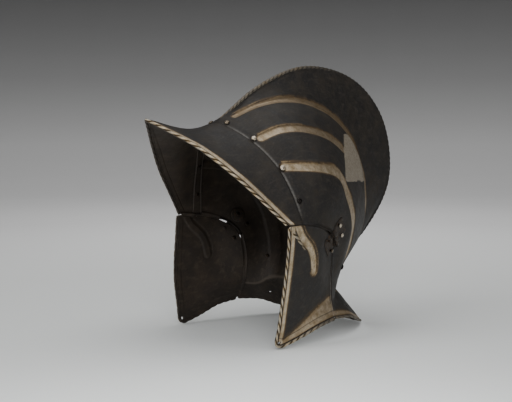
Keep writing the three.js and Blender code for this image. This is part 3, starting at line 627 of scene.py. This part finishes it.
# Peak
print("peak")
peak = {"lapRows": 6, "frontRows": 66, "rootRise": 0.95 * mm, "rootFade": 34 * mm, "dents": 0.25 * mm,
        "bandFrom": 1.3 * mm, "tipBand": 3 * mm, "sideBand": 7.2 * mm, "bandSunk": 0.35 * mm,
        "groove": 0.4 * mm}
lapGap = columnDistance(bareInner)
lapPlaces = np.linspace(helmet["lapLength"], 0, peak["lapRows"])


def atLap(grid):
    return np.stack([[np.interp(lapPlaces, lapGap[:, j], grid[:, j, k]) for k in range(3)]
                     for j in range(grid.shape[1])]).transpose(2, 0, 1)


lapRows = atLap(bareInner) - unit(atLap(halfUp)) * helmet["plateGap"]
middleRow, edgeRow = (splinePoints(fromShares(peakRails[name]), halfAcross) for name in ("middle", "edge"))
frontShares = spread(peak["frontRows"] + 1,
                     lambda a: 1 + 7 * np.exp(-a / 0.012) + 1.5 * np.exp(-(1 - a) / 0.08))
front = splinePoints(np.stack([lapRows[-1], middleRow, edgeRow], axis=1), frontShares[1:])
halfPeak = np.concatenate([lapRows, np.swapaxes(front, 0, 1)])
peakUp = halfNormals(halfPeak)
tipGap = columnDistance(halfPeak, fromLast=True)
rootGap = np.maximum(columnDistance(halfPeak) - helmet["lapLength"], 0)
rise = smooth(rootGap, 0.3 * mm, 1 * mm) * (1 - smooth(rootGap, 6 * mm, peak["rootFade"]))
bandTo = peak["tipBand"] + (peak["sideBand"] - peak["tipBand"]) * smooth(halfAcross, 0.15, 0.5)
peakInside = np.minimum(tipGap - peak["bandFrom"], bandTo - tipGap)
sunk = peak["bandSunk"] * (1 - smooth(tipGap - bandTo, -0.4 * mm, 0.8 * mm))
sunk += peak["groove"] * ridge(tipGap, 0.9 * mm, 0.6 * mm)
peakDents = hammered(halfPeak, peak["dents"]) * smooth(rootGap, 2 * mm, 12 * mm)
peakShift = (peak["rootRise"] * rise - sunk + peakDents)[..., None]
peakOuter = fullGrid(halfPeak + peakUp * peakShift)
peakInner = fullGrid(halfPeak + peakUp * (peakShift - helmet["peakWall"]))
# Painted highlight: the middle of the peak's border band takes the bright rope colour
peakHighlight = 0.5 * smooth(peakInside, 0, 1.2 * mm) * smooth(halfAcross, 0.1, 0.4)
peakParts = []
addPlate(peakParts, peakOuter, peakInner, {
    "bright": fullGrid(peakInside) / mm, "groove": fullGrid(ridge(tipGap, 0.9 * mm, 0.5 * mm)),
    "rope": fullGrid(peakHighlight, 0 * peakHighlight)})
addRimRope(peakParts, peakOuter, peakInner, lastRow(peakOuter), helmet["peakWall"], peakRope, 1.0)
peakLipRows = np.arange(peak["lapRows"], len(halfPeak) - lip["peakSpare"])
addLip(peakParts, halfPeak, peakUp, peakLipRows, helmet["peakWall"], lip["peakEnds"])

# Cheekpieces; lobe and flange are lines (along, across), and a separate short rope lies on the lobe
print("cheekpieces")
cheek = {
    "rows": 108, "columns": 78, "creaseRow": 0.8, "tip": (0.1, 0.09), "dents": 0.2 * mm, "lineSteps": 60,
    "lobe": [(0.002, 0.155), (0.045, 0.2), (0.0957, 0.2561), (0.1502, 0.3505), (0.1991, 0.4278),
             (0.2636, 0.4871), (0.3248, 0.5064), (0.3715, 0.5136)],
    "lobeHalf": 4.3 * mm, "lobeDepth": 0.9 * mm, "lipGap": 2.6 * mm, "lipHalf": 0.45 * mm, "lip": 0.5 * mm,
    "lobeRope": [(0.0445, 0.0587), (0.1046, 0.1602), (0.1824, 0.2833), (0.2458, 0.3777)],
    "bandFrom": 1.4 * mm, "bandTo": 6.4 * mm, "bandSunk": 0.3 * mm, "edgeLine": 0.35 * mm, "corner": 4 * mm,
    "flange": [(0.99, 0), (0.931, 0.129), (0.8665, 0.316), (0.834, 0.544), (0.8, 0.785), (0.722, 1)],
    "flangeSoft": 0.45, "flangeLine": (7 * mm, 1.2 * mm), "lipEnd": 0.45, "rearSeamLight": 0.8,
    "laceHole": (0.955, 0.045), "laceRadius": 1.6 * mm, "lowerRope": 0.35,
}


# The front lower tip, rounded off within its own stretch of the grid
def roundedTip(along, across):
    width, height = cheek["tip"]
    a, b = np.meshgrid(1 - across / width, 1 - (1 - along) / height)
    near = (a > 0) & (b > 0)
    a0, b0 = np.maximum(a, 0), np.maximum(b, 0)
    roundA, roundB = a0 * np.sqrt(1 - b0 ** 2 / 2), b0 * np.sqrt(1 - a0 ** 2 / 2)
    return 1 - (1 - np.where(near, roundB, b)) * height, (1 - np.where(near, roundA, a)) * width


# A smooth line on the cheekpiece through places (along, across)
def cheekLine(places, shares=np.linspace(0, 1, cheek["lineSteps"])):
    return splinePoints(pointsAt(cheekPoints, *np.array(places).T), shares)


cheekRows = spread(cheek["rows"], lambda a: 1 + 1.2 * np.exp(-(1 - a) / 0.05))
cheekRows[np.argmin(abs(cheekRows - cheek["creaseRow"]))] = cheek["creaseRow"]
cheekAcross = spread(cheek["columns"], lambda a: 1 + 1.2 * np.exp(-a / 0.06))
alongGrid, acrossGrid = roundedTip(cheekRows, cheekAcross)
base = pointsAt(cheekPoints, alongGrid, acrossGrid)
cheekUp = gridNormals(base)
lobeGap = lineDistance(base, cheekLine(cheek["lobe"]))
lobeInside = cheek["lobeHalf"] - lobeGap
lobeAlong, lobeAcross = np.array(cheek["lobe"]).T
behindLobe = (acrossGrid > np.interp(alongGrid, lobeAlong, lobeAcross)) | (alongGrid > lobeAlong[-1])
lipGap = cheek["lobeHalf"] + cheek["lipGap"] * (1 - smooth(alongGrid - lobeAlong[-1], -0.1, 0.1))
lipInside = np.where(behindLobe, cheek["lipHalf"] - abs(lobeGap - lipGap), farOut)
frontGap, lowerGap = lineDistance(base, base[:, 0]), lineDistance(base, base[-1])
edgeGap = np.minimum(frontGap, lowerGap)
bandInside = np.minimum(frontGap - cheek["bandFrom"], cheek["bandTo"] - frontGap)
creaseAcross = np.linspace(0, 1, cheek["lineSteps"])
crease = pointsAt(cheekPoints, np.full_like(creaseAcross, cheek["creaseRow"]), creaseAcross)
belowCrease = np.where(alongGrid > cheek["creaseRow"], 1, -1) * lineDistance(base, crease)
flangeAlong, flangeAcross = np.array(cheek["flange"]).T
belowFlange = np.where(alongGrid > np.interp(acrossGrid, flangeAcross, flangeAlong), 1, -1)
goldInside = belowFlange * lineDistance(base, cheekLine(cheek["flange"]))
flangeInside = np.minimum(cheek["flangeSoft"] * goldInside, edgeGap - cheek["bandFrom"])
cornerInside = cheek["corner"] - np.linalg.norm(base - base[0, 0], axis=-1)
flangeLine = ridge(lowerGap, *cheek["flangeLine"]) * (belowCrease > 1 * mm)
relief = bandRelief(lobeInside, cheek["lobeDepth"], 0)
relief += cheek["lip"] * ridge(lobeGap, lipGap, 0.7 * mm) * behindLobe * (alongGrid < cheek["lipEnd"])
relief -= cheek["edgeLine"] * ridge(edgeGap, 0.9 * mm, 0.6 * mm)
relief -= cheek["bandSunk"] * (1 - smooth(frontGap - cheek["bandTo"], -0.4 * mm, 0.6 * mm) + flangeLine)
cheekShift = (relief + hammered(base, cheek["dents"]))[..., None]
cheekOuter = base + cheekUp * cheekShift
cheekInner = base + cheekUp * (cheekShift - helmet["cheekWall"])
# Painted light: a light line along the rear edge, set against the shadow of the seam to the skull
rearEdge = ridge(lineDistance(base, base[:, -1]), 0.3 * mm, 1.3 * mm) * smooth(alongGrid, 0.4, 0.55)
cheekParts = []
addPlate(cheekParts, cheekOuter, cheekInner, {
    "bright": np.maximum.reduce([lobeInside, lipInside, bandInside, flangeInside, cornerInside]) / mm,
    "groove": np.maximum(ridge(edgeGap, 0.9 * mm, 0.7 * mm), 0.75 * flangeLine),
    "wear": cheek["rearSeamLight"] * rearEdge,
    # painted highlight: the front band takes the bright rope colour
    "rope": 0.5 * smooth(bandInside, 0, 1.2 * mm)}, holes(cheekPoints, cheek, False))
rows, columns = base.shape[:2]
path = [(i, 0) for i in range(rows)] + lastRow(base)[1:]
rearward = np.r_[np.zeros(rows), np.arange(1, columns) / columns]
lowerScale = 1 + cheek["lowerRope"] * smooth(np.arange(len(path)), rows - 12, rows)
addRimRope(cheekParts, cheekOuter, cheekInner, path, helmet["cheekWall"], dict(rimRope, scale=lowerScale),
           1 - 0.75 * smooth(rearward, 0.3, 0.8))
sinking = np.linspace(0, 1, 40)
ropeLine = cheekLine(cheek["lobeRope"], sinking)
ropeUp = np.stack([seatOn(cheekPoints, a + 0.003, b)[1] for a, b in cheek["lobeRope"]])
ropeUp = unit(splinePoints(ropeUp, sinking))
ropeOut = unit(np.cross(np.gradient(ropeLine, axis=0), ropeUp))
addRope(cheekParts, ropeLine - ropeUp * (0.1 + 0.5 * sinking[:, None]) * mm, ropeUp, ropeOut,
        dict(lobeRope, scale=1 - 0.5 * sinking), 1 - 0.8 * sinking)


# Finishes
print("finishes")


def linear(hexColour):
    channels = [int(hexColour[k:k + 2], 16) / 255 for k in (1, 3, 5)]
    return [c / 12.92 if c <= 0.04045 else ((c + 0.055) / 1.055) ** 2.4 for c in channels] + [1.0]


# Adds a node; a value that is a node or a socket is linked, any other is set
def addNode(tree, kind, values=None):
    node = tree.nodes.new("ShaderNode" + kind)
    for name, value in (values or {}).items():
        if isinstance(value, bpy.types.Node):
            value = next(socket for socket in value.outputs if socket.enabled)
        if isinstance(name, str) and hasattr(node, name):
            setattr(node, name, value)
            continue
        named = [socket for socket in node.inputs if socket.enabled and socket.name == name]
        socket = node.inputs[name] if isinstance(name, int) else named[0]
        if isinstance(value, bpy.types.NodeSocket):
            tree.links.new(value, socket)
        else:
            socket.default_value = linear(value) if isinstance(value, str) else value
    return node


def newMaterial(name):
    material = bpy.data.materials.new(name)
    material.use_nodes = True
    material.node_tree.nodes.clear()
    return material, material.node_tree, addNode(material.node_tree, "TexCoord").outputs["Object"]


# Steel plate blackened in oil over a fire, its bands and ropes polished bright: a near-black, dull field
# with brown mottling, tan-grey metal with stained, ragged edges, a bare grey patch and a raw, russet inside
def oilBlackenedPlate(name):
    material, tree, coords = newMaterial(name)
    marks = {mark: addNode(tree, "Attribute", {"attribute_name": mark}).outputs["Fac"]
             for mark in restMarks}
    axes = addNode(tree, "SeparateXYZ", {"Vector": coords}).outputs
    drawnOut = addNode(tree, "Mapping", {"Scale": (1.0, 0.12, 0.3), "Vector": coords})
    noise = {}  # size in mm, detail, roughness and where; the grain is drawn coarse, so that it shows
    for pattern, (size, detail, rough, where) in {
            "ragged": (3.2, 4.0, 0.64, coords), "cloud": (21, 6.0, 0.64, coords),
            "stain": (7, 5.0, 0.64, coords), "pits": (2.2, 5.0, 0.64, coords),
            "grain": (0.9, 3.0, 0.64, coords), "scratch": (1.6, 3.0, 0.5, drawnOut)}.items():
        noise[pattern] = addNode(tree, "TexNoise", {"Scale": 1 / (size * mm), "Detail": detail,
                                                    "Roughness": rough, "Vector": where})
    wander = addNode(tree, "MapRange", {"From Min": 0.3, "From Max": 0.7, "To Min": -0.3, "To Max": 0.3,
                                        "Value": noise["ragged"]})
    brightEdge, patchEdge = (addNode(tree, "Math", {"operation": "ADD", 0: marks[mark], 1: wander})
                             for mark in ("bright", "patch"))
    share = {}
    for mask, (source, low, high, least, most) in {
            "bright": (brightEdge, -0.25, 0.3, 0, 1), "halo": (brightEdge, -2.2, -0.2, 0, 0.85),
            "core": (brightEdge, 0, 1.5, 0, 1), "patch": (patchEdge, -0.3, 0.3, 0, 1),
            "mottle": (noise["cloud"], 0.42, 0.66, 0, 1), "brown": (noise["stain"], 0.55, 0.8, 0, 0.6),
            "rusty": (noise["stain"], 0.3, 0.55, 0, 1), "tarnish": (noise["stain"], 0.38, 0.66, 0, 1),
            "smut": (noise["stain"], 0.5, 0.3, 0, 0.6), "uneven": (noise["stain"], 0.35, 0.6, 0.45, 1),
            "fieldGloss": (noise["stain"], 0.3, 0.7, 0.5, 0.66), "rough": (noise["pits"], 0.38, 0.64, 0, 1),
            "pitted": (noise["pits"], 0.54, 0.72, 0, 0.5), "lineBreakup": (noise["pits"], 0.3, 0.55, 0.35, 1),
            # glint paints small highlights on the polished metal
            "speck": (noise["pits"], 0.5, 0.72, 0, 0.6), "glint": (noise["grain"], 0.5, 0.75, 0, 0.25),
            "brightGloss": (noise["pits"], 0.3, 0.7, 0.28, 0.46),
            "scratched": (noise["scratch"], 0.54, 0.78, 0, 0.42),
            "flank": (marks["groove"], 0.15, 0.55, 0, 1), "cut": (marks["groove"], 0.5, 0.85, 0, 0.92),
            # upward paints shade on the bands higher up; rearward and downward darken them towards the rear
            # and the bottom
            "rearward": (axes["Y"], -0.03, 0.1, 0, 0.6), "upward": (axes["Z"], 0.17, 0.24, 0, 0.72),
            "downward": (axes["Z"], 0.06, 0.0, 0, 0.5)}.items():
        share[mask] = addNode(tree, "MapRange", {"From Min": low, "From Max": high, "To Min": least,
                                                 "To Max": most, "Value": source})
    for product, (first, second) in {
            # strand: rope colour on the ropes, and a painted highlight on the peak's and the cheekpiece's
            # border bands
            "strand": (marks["rope"], share["uneven"]), "scorch": (share["halo"], share["rusty"]),
            "wear": (marks["wear"], share["lineBreakup"]), "crease": (marks["wear"], marks["inside"]),
            "barePatch": (share["patch"], 0.4), "brightMetal": (share["bright"], 0.65),
            "flank": (share["flank"], marks["rope"]), "pitHeight": (noise["pits"], 0.6),
            "grainHeight": (noise["grain"], 0.3)}.items():
        share[product] = addNode(tree, "Math", {"operation": "MULTIPLY", 0: first, 1: second})
    tone = {}
    for layer, (base, coats) in {
            "black": ("#211f1e", [("mottle", "#2f2a24"), ("smut", "#1c1a19"), ("speck", "#3a3530"),
                                  ("brown", "#372e23"), ("scratched", "#453f39"), ("scorch", "#55432c")]),
            "polished": ("#87704e", [("core", "#cfbfa6"), ("tarnish", "#94805f"), ("glint", "#d8cab0"),
                                     ("pitted", "#54422c"), ("rearward", "#6f5b3e"), ("upward", "#6d5c46"),
                                     ("downward", "#765f42")]),
            "bare": ("#a49a8a", [("rough", "#857b6b")]),
            "strand": ("#e6dbc6", [("tarnish", "#b59f7c"), ("flank", "#66512f")]),
            "raw": ("#2f2924", [("mottle", "#3c332b"), ("scratched", "#564b40"), ("pitted", "#1f1b17")]),
    }.items():
        for mask, coat in coats:
            base = addNode(tree, "Mix", {"data_type": "RGBA", "Factor": share[mask], "A": base, "B": coat})
        tone[layer] = base
    colour = tone["black"]
    for mask, coat in [
            # the wear mark's grey is edge wear and painted highlight on the brow, and painted highlight on
            # the rear seam and the inside crease
            (share["bright"], tone["polished"]), (share["patch"], tone["bare"]), (share["wear"], "#74716d"),
            # cut darkens the grooves, and paints the shadow rings round the rivet heads
            (share["strand"], tone["strand"]), (share["cut"], "#1a120c"), (marks["inside"], tone["raw"]),
            # crease paints a highlight along the inside neck crease
            (share["crease"], "#5d5349")]:
        colour = addNode(tree, "Mix", {"data_type": "RGBA", "Factor": mask, "A": colour, "B": coat})
    metal = share["brightMetal"]
    for kind, other in (("MAXIMUM", marks["rope"]), ("MAXIMUM", share["barePatch"]),
                        ("SUBTRACT", marks["inside"])):
        metal = addNode(tree, "Math", {"operation": kind, "use_clamp": True, 0: metal, 1: other})
    gloss = addNode(tree, "Mix", {"Factor": metal, "A": share["fieldGloss"], "B": share["brightGloss"]})
    height = addNode(tree, "Math", {"operation": "ADD", 0: share["pitHeight"], 1: share["grainHeight"]})
    bump = addNode(tree, "Bump", {"Strength": 0.35, "Distance": 0.5 * mm, "Height": height})
    shader = addNode(tree, "BsdfPrincipled", {"Specular IOR Level": 0.28, "Base Color": colour,
                                              "Metallic": metal, "Roughness": gloss, "Normal": bump})
    addNode(tree, "OutputMaterial", {"Surface": shader})
    return material


# Wrought iron, hot forged and rusted: nearly black, rough and pitted, with dull brown rust in the pits
def forgedIron(name):
    material, tree, coords = newMaterial(name)
    pits = addNode(tree, "TexNoise", {"Scale": 1 / (2.4 * mm), "Detail": 5.0, "Roughness": 0.7,
                                      "Vector": coords})
    rust = addNode(tree, "MapRange", {"From Min": 0.44, "From Max": 0.66, "Value": pits})
    colour = addNode(tree, "Mix", {"data_type": "RGBA", "Factor": rust, "A": "#2b2826", "B": "#4a3a2a"})
    bump = addNode(tree, "Bump", {"Strength": 0.8, "Distance": 0.6 * mm, "Height": pits})
    rough = addNode(tree, "MapRange", {"To Min": 0.42, "To Max": 0.75, "Value": pits})
    shader = addNode(tree, "BsdfPrincipled", {"Metallic": 0.2, "Specular IOR Level": 0.3, "Normal": bump,
                                              "Base Color": colour, "Roughness": rough})
    addNode(tree, "OutputMaterial", {"Surface": shader})
    return material


# Steel rivet heads, filed round and burnished or blackened: warm metal with brown in its pits
def filedRivet(name, high, low):
    material, tree, coords = newMaterial(name)
    pits = addNode(tree, "TexNoise", {"Scale": 1 / (2 * mm), "Detail": 4.0, "Roughness": 0.6,
                                      "Vector": coords})
    stain = addNode(tree, "MapRange", {"From Min": 0.45, "From Max": 0.7, "Value": pits})
    colour = addNode(tree, "Mix", {"data_type": "RGBA", "Factor": stain, "A": high, "B": low})
    inside = addNode(tree, "Attribute", {"attribute_name": "inside"}).outputs["Fac"]
    colour = addNode(tree, "Mix", {"data_type": "RGBA", "Factor": inside, "A": colour, "B": "#3a322b"})
    bump = addNode(tree, "Bump", {"Strength": 0.3, "Distance": 0.3 * mm, "Height": pits})
    rough = addNode(tree, "MapRange", {"To Min": 0.22, "To Max": 0.5, "Value": pits})
    shader = addNode(tree, "BsdfPrincipled", {"Metallic": 1.0, "Base Color": colour, "Roughness": rough,
                                              "Normal": bump})
    addNode(tree, "OutputMaterial", {"Surface": shader})
    return material


blackenedPlate = oilBlackenedPlate("oilBlackenedPlate")
brightRivet = filedRivet("burnishedRivet", "#d0c6b4", "#6a5539")
dullRivet = filedRivet("tarnishedRivet", "#7d7263", "#3d3122")
blackRivet = filedRivet("blackenedRivet", "#2a2725", "#1a1512")
hingeIron = forgedIron("forgedIron")

for name, parts, body, node in (
        ("skullPlate", skullParts, "helmet", "skull"), ("peakPlate", peakParts, "helmet", "peak"),
        ("leftCheekPlate", cheekParts, "left_cheek", "left_cheekpiece"),
        ("rightCheekPlate", mirrored(cheekParts), "right_cheek", "right_cheekpiece")):
    addPiece(name, parts, blackenedPlate, body, node)

# Rivets and hinges
print("rivets and hinges")
rivet = {"turns": 28, "domeSteps": 8, "shank": 1.4 * mm, "clench": 2.3 * mm, "clenchHeight": 0.8 * mm,
         "dome": 1.7 * mm, "lowDome": 1 * mm, "seat": 0.3 * mm}
hinge = {"width": 22 * mm, "barrel": 2.2 * mm, "thickness": 0.9 * mm, "gap": 0.35 * mm, "seat": 0.15 * mm,
         "ragged": 0.45 * mm, "sideWaves": 900, "endWaves": 700, "corner": 5 * mm, "rows": 18, "columns": 26,
         "bevel": 2.2 * mm, "pin": 1 * mm, "pinHead": 1.9 * mm, "washer": 8.5 * mm, "washerBore": 1.7 * mm}


# A closed round piece: a profile of (radius, height) from its low end to its high end, turned about an axis
def addLathe(parts, base, axis, profile, turns=rivet["turns"], inner=0):
    side = unit(np.cross(axis, [0.3, 0.5, 0.8]))
    other = np.cross(axis, side)
    angles = np.arange(turns) * 2 * math.pi / turns
    ring = np.cos(angles)[:, None] * side + np.sin(angles)[:, None] * other
    ends = [[base + profile[k][1] * axis] for k in (0, -1)]
    points = np.concatenate([base + r * ring + z * axis for r, z in profile] + ends)
    dark = [float(k < inner) for k in range(len(profile))]
    addPart(parts, points, tubeFaces(len(profile), turns),
            inside=np.r_[np.repeat(dark, turns), dark[0], dark[-1]])


# Top and axis of a packed rivet, from its clenched end to the top of its head, its length and head radius
def rivetFrame(node):
    points = nodePoints(node)
    values, vectors = np.linalg.eigh(np.cov((points - points.mean(0)).T))
    axis = vectors[:, 0 if values[1] - values[0] > values[2] - values[1] else 2]
    if axis @ (points.mean(0) - headCentre) < 0:
        axis = -axis
    depth = points @ axis
    top = points[depth.argmax()]
    radial = points - top - dot(points - top, axis) * axis
    return top, axis, depth.max() - depth.min(), np.linalg.norm(radial, axis=1).max()


def rivetParts(node, dome):
    top, axis, length, headRadius = rivetFrame(node)
    seat, clench, clenchTop = -dome - rivet["seat"], rivet["clench"], rivet["clenchHeight"] - length
    profile = [(clench * 0.9, -length), (clench, clenchTop - rivet["clenchHeight"] / 2),
               (clench, clenchTop), (rivet["shank"], clenchTop), (rivet["shank"], seat),
               (headRadius * 0.97, seat)]
    profile += [(headRadius * math.cos(a) ** 0.8, dome * (math.sin(a) - 1))
                for a in np.linspace(0, math.pi / 2, rivet["domeSteps"])[:-1]]
    parts = []
    addLathe(parts, top, axis, profile + [(headRadius * 0.15, 0)], inner=5)
    return parts


# Frame of the left hinge: its centre and axis, and each leaf's middle, way out and way away from the barrel
def hingeFrame():
    joint = next(joint for joint in frame["joints"] if joint["name"] == "left_cheek_hinge")
    centre, axis = np.array(joint["pos_m"], float), unit(np.array(joint["axis"], float))
    leaves = {}
    for leaf in ("skull", "cheek"):
        tops, outs = zip(*(rivetFrame(f"left_hinge_{leaf}_rivet_{k}")[:2] for k in (1, 2)))
        out = unit(np.mean(outs, axis=0))
        middle = np.mean(tops, axis=0) - out * (rivet["lowDome"] + hinge["seat"] + hinge["thickness"] / 2)
        arm = middle - centre
        away = unit(arm - dot(arm, axis) * axis - dot(arm, out) * out)
        reach = nodePoints(f"left_hinge_{leaf}_leaf") - middle
        leaves[leaf] = (middle, out, away, float(arm @ away), float((reach @ away).max()))
    return centre, axis, leaves


# A leaf that follows its plate, with rounded corners and a rust-eaten outline, its tabs and rolled knuckles
def leafParts(leaf, plate, ownKnuckles):
    centre, axis, leaves = hingeFrame()
    middle, out, away, reach, high = leaves[leaf]
    low = -reach + hinge["barrel"] + hinge["gap"]
    v = np.linspace(low, high, hinge["rows"])[:, None]
    u = np.linspace(-1, 1, hinge["columns"])[None]
    half = hinge["width"] / 2
    fromEnd = np.clip((high - v) / hinge["corner"], 0, 1)
    width = half - hinge["corner"] * (1 - np.sqrt(1 - (1 - fromEnd) ** 2))
    width = width + hinge["ragged"] * np.sin(v * hinge["sideWaves"] + half)
    x = u * width
    y = v + hinge["ragged"] * np.sin(x * hinge["endWaves"] + 1) * smooth(v, low, high)
    flat = middle + x[..., None] * axis + y[..., None] * away
    tree = BVHTree.FromPolygons(plate.reshape(-1, 3).tolist(), gridFaces(*plate.shape[:2]).tolist())
    seats = [tree.find_nearest(Vector(point))[0] for point in flat.reshape(-1, 3)]
    under = flat + dot(np.array(seats).reshape(flat.shape) - flat, out) * out + out * hinge["seat"]
    thin = smooth(np.minimum((1 - abs(u)) * half, high - v), -0.6 * mm, hinge["bevel"])
    parts = []
    addPlate(parts, under + out * (hinge["thickness"] * thin)[..., None], under, {})
    knuckle = hinge["width"] / 3
    for k in ownKnuckles:
        tab = np.array([[-0.5, 0.5]]) * (knuckle - 2 * hinge["gap"]) + k * knuckle
        along = np.array([[low + 1 * mm], [low], [-reach + hinge["barrel"] * 0.2]])
        sheet = middle + tab[..., None] * axis + along[..., None] * away - dot(middle - centre, axis) * axis
        addPlate(parts, sheet + out * hinge["thickness"] / 2, sheet - out * hinge["thickness"] / 2, {})
        length, radius, bore = knuckle - hinge["gap"], hinge["barrel"], hinge["pin"] * 1.3
        profile = [(bore, -0.5), (radius * 0.86, -0.5), (radius, -0.46), (radius * 1.04, 0), (radius, 0.46),
                   (radius * 0.86, 0.5), (bore, 0.5)]
        addLathe(parts, centre + k * knuckle * axis, axis, [(r, z * length) for r, z in profile])
    return parts


def pinParts():
    centre, axis, _ = hingeFrame()
    half, head, radius = hinge["width"] / 2 + hinge["seat"], hinge["pinHead"], hinge["pin"]
    ends = [(head * 0.5, half + 0.9 * mm), (head * 0.85, half + 0.7 * mm), (head, half + 0.2 * mm),
            (head * 0.9, half), (radius, half)]
    parts = []
    addLathe(parts, centre, axis, [(r, -z) for r, z in ends] + ends[::-1])
    return parts


# The round washer under the front rivet, dished a little and bored for the shank
def washerParts():
    points = nodePoints("left_hinge_washer")
    axis = np.linalg.eigh(np.cov((points - points.mean(0)).T))[1][:, 0]
    half, radius, bore = hinge["thickness"] / 2, hinge["washer"], hinge["washerBore"]
    profile = [(bore, -half), (radius * 0.94, -half), (radius, -half * 0.4), (radius, half * 0.4),
               (radius * 0.94, half), (bore, half)]
    parts = []
    addLathe(parts, (points.min(0) + points.max(0)) / 2, axis, profile, 40)
    return parts


# Made for the left side and mirrored: parts, finish, slot, and whether they ride the cheekpiece
fittings = {
    "hinge_cheek_leaf": (leafParts("cheek", cheekOuter, (-1, 1)), hingeIron, "dark_iron", True),
    "hinge_skull_leaf": (leafParts("skull", halfOuter, (0,)), hingeIron, "dark_iron", False),
    "hinge_pin": (pinParts(), hingeIron, "dark_iron", False),
    "hinge_washer": (washerParts(), hingeIron, "dark_iron", False),
    "nape_rivet": (rivetParts("left_nape_rivet", rivet["dome"]), blackRivet, "blackened_plate", False),
}
for k, finish in enumerate((dullRivet, brightRivet, brightRivet, blackRivet), 1):
    slotName = "blackened_plate" if k == 4 else "bright_rivet"
    node = f"peak_rivet_{k}"
    fittings[node] = (rivetParts("left_" + node, rivet["dome"]), finish, slotName, False)
for k, cheekFinish in ((1, hingeIron), (2, dullRivet)):
    for leaf, finish, slotName in (("skull", brightRivet, "bright_rivet"),
                                   ("cheek", cheekFinish, "dark_iron")):
        node = f"hinge_{leaf}_rivet_{k}"
        fittings[node] = (rivetParts("left_" + node, rivet["lowDome"]), finish, slotName, leaf == "cheek")
for side in ("left", "right"):
    for fitting, (parts, finish, slotName, onCheek) in fittings.items():
        name = side + "".join(word.capitalize() for word in fitting.split("_"))
        addPiece(name, parts if side == "left" else mirrored(parts), finish,
                 f"{side}_cheek" if onCheek else "helmet", f"{side}_{fitting}")

# Stage: a pale floor that curves up into a wall all round
print("stage")
stage = {"radius": 2.4, "corner": 1.2, "height": 3.2, "turns": 96, "reach": 5.0,
         "tones": [(5.0, "#6a6a6a"), (0.0, "#eef1f0"), (0.5, "#e1e3e2"), (1.4, "#d8d8d8"), (2.4, "#ececec"),
                   (3.07, "#cacaca"), (3.41, "#989898"), (3.69, "#6a6a6a")]}


# Matt paper sweep whose colour paints the fall-off of the studio light: pale at the helmet, darker with the
# distance and up the wall
def paperSweep(name):
    material, tree, _ = newMaterial(name)
    where = addNode(tree, "NewGeometry").outputs["Position"]
    distance = addNode(tree, "VectorMath", {"operation": "LENGTH", 0: where})
    share = addNode(tree, "MapRange", {"From Max": stage["reach"], "Value": distance})
    ramp = addNode(tree, "ValToRGB", {"Fac": share})
    stops = ramp.color_ramp.elements
    for k, (radius, colour) in enumerate(stage["tones"]):
        stop = stops[k - 1] if k in (0, 1) else stops.new(radius / stage["reach"])
        stop.position, stop.color = radius / stage["reach"], linear(colour)
    shader = addNode(tree, "BsdfPrincipled", {"Roughness": 0.85, "Specular IOR Level": 0.2,
                                              "Base Color": ramp})
    addNode(tree, "OutputMaterial", {"Surface": shader})
    return material


outline = [(stage["radius"] * k / 10, 0.0) for k in range(1, 11)]
outline += [(stage["radius"] + stage["corner"] * math.sin(a), stage["corner"] * (1 - math.cos(a)))
            for a in np.linspace(0, math.pi / 2, 14)[1:]]
outline += [(stage["radius"] + stage["corner"], stage["height"])]
count = stage["turns"]
turns = np.arange(count) * 2 * math.pi / count
sweepPoints = [(0.0, 0.0, 0.0)] + [(r * math.cos(t), r * math.sin(t), z) for r, z in outline for t in turns]
sweepFaces = [(0, 1 + k, 1 + (k + 1) % count) for k in range(count)]
for row in range(len(outline) - 1):
    for k in range(count):
        a, b = 1 + row * count + k, 1 + row * count + (k + 1) % count
        sweepFaces.append((a, a + count, b + count, b))
sweepMesh = bpy.data.meshes.new("paperSweep")
sweepMesh.from_pydata(sweepPoints, [], sweepFaces)
sweepMesh.polygons.foreach_set("use_smooth", np.ones(len(sweepMesh.polygons), bool))
sweepMesh.materials.append(paperSweep("paperSweep"))
sweep = bpy.data.objects.new("paperSweep", sweepMesh)
bpy.context.collection.objects.link(sweep)

# Soft round lamps; all but the one over the near floor spread their light half round
lights = {
    "overhead": {"place": (0.1, 0.2, 1.7), "aim": (0, 0, 0.1), "size": 1.6, "power": 10},
    "front": {"place": (-0.15, -1.5, 1.0), "aim": (0, 0, 0.13), "size": 1.2, "power": 13},
    "side": {"place": (1.4, -1.0, 0.95), "aim": (0, 0, 0.12), "size": 1.0, "power": 11},
    "fill": {"place": (1.8, 0.6, 0.7), "aim": (0, 0, 0.12), "size": 1.0, "power": 3},
    "backdrop": {"place": (-0.7, 0.6, 1.5), "aim": (-1.9, 1.9, 0.2), "size": 1.0, "power": 18},
    "nearFloor": {"place": (0.48, -0.43, 0.6), "aim": (0.42, -0.37, 0), "size": 0.3, "power": 1.2,
                  "spread": 75},
}
for name, light in lights.items():
    lightData = bpy.data.lights.new(name, "AREA")
    lightData.shape, lightData.size, lightData.energy = "DISK", light["size"], light["power"]
    lightData.spread = math.radians(light.get("spread", 180))
    lamp = bpy.data.objects.new(name, lightData)
    bpy.context.collection.objects.link(lamp)
    lamp.location = light["place"]
    lamp.rotation_euler = (Vector(light["aim"]) - lamp.location).to_track_quat("-Z", "Y").to_euler()
air = {"colour": "#c8c8c8", "strength": 0.5}
world = bpy.data.worlds.new("studioAir")
world.use_nodes = True
world.node_tree.nodes["Background"].inputs["Color"].default_value = linear(air["colour"])
world.node_tree.nodes["Background"].inputs["Strength"].default_value = air["strength"]
bpy.context.scene.world = world

# Camera, at the photograph's place
camera = {"lens": 63.28, "sensor": 36.0, "place": (0.75177, -0.66644, 0.20722), "tilt": -3.687,
          "turn": 50.028}
cameraData = bpy.data.cameras.new("camera")
cameraData.lens, cameraData.sensor_width = camera["lens"], camera["sensor"]
cameraData.sensor_fit = "HORIZONTAL"
view = bpy.data.objects.new("camera", cameraData)
bpy.context.collection.objects.link(view)
view.location = camera["place"]
view.rotation_euler = (math.radians(90 + camera["tilt"]), 0, math.radians(camera["turn"]))
bpy.context.scene.camera = view
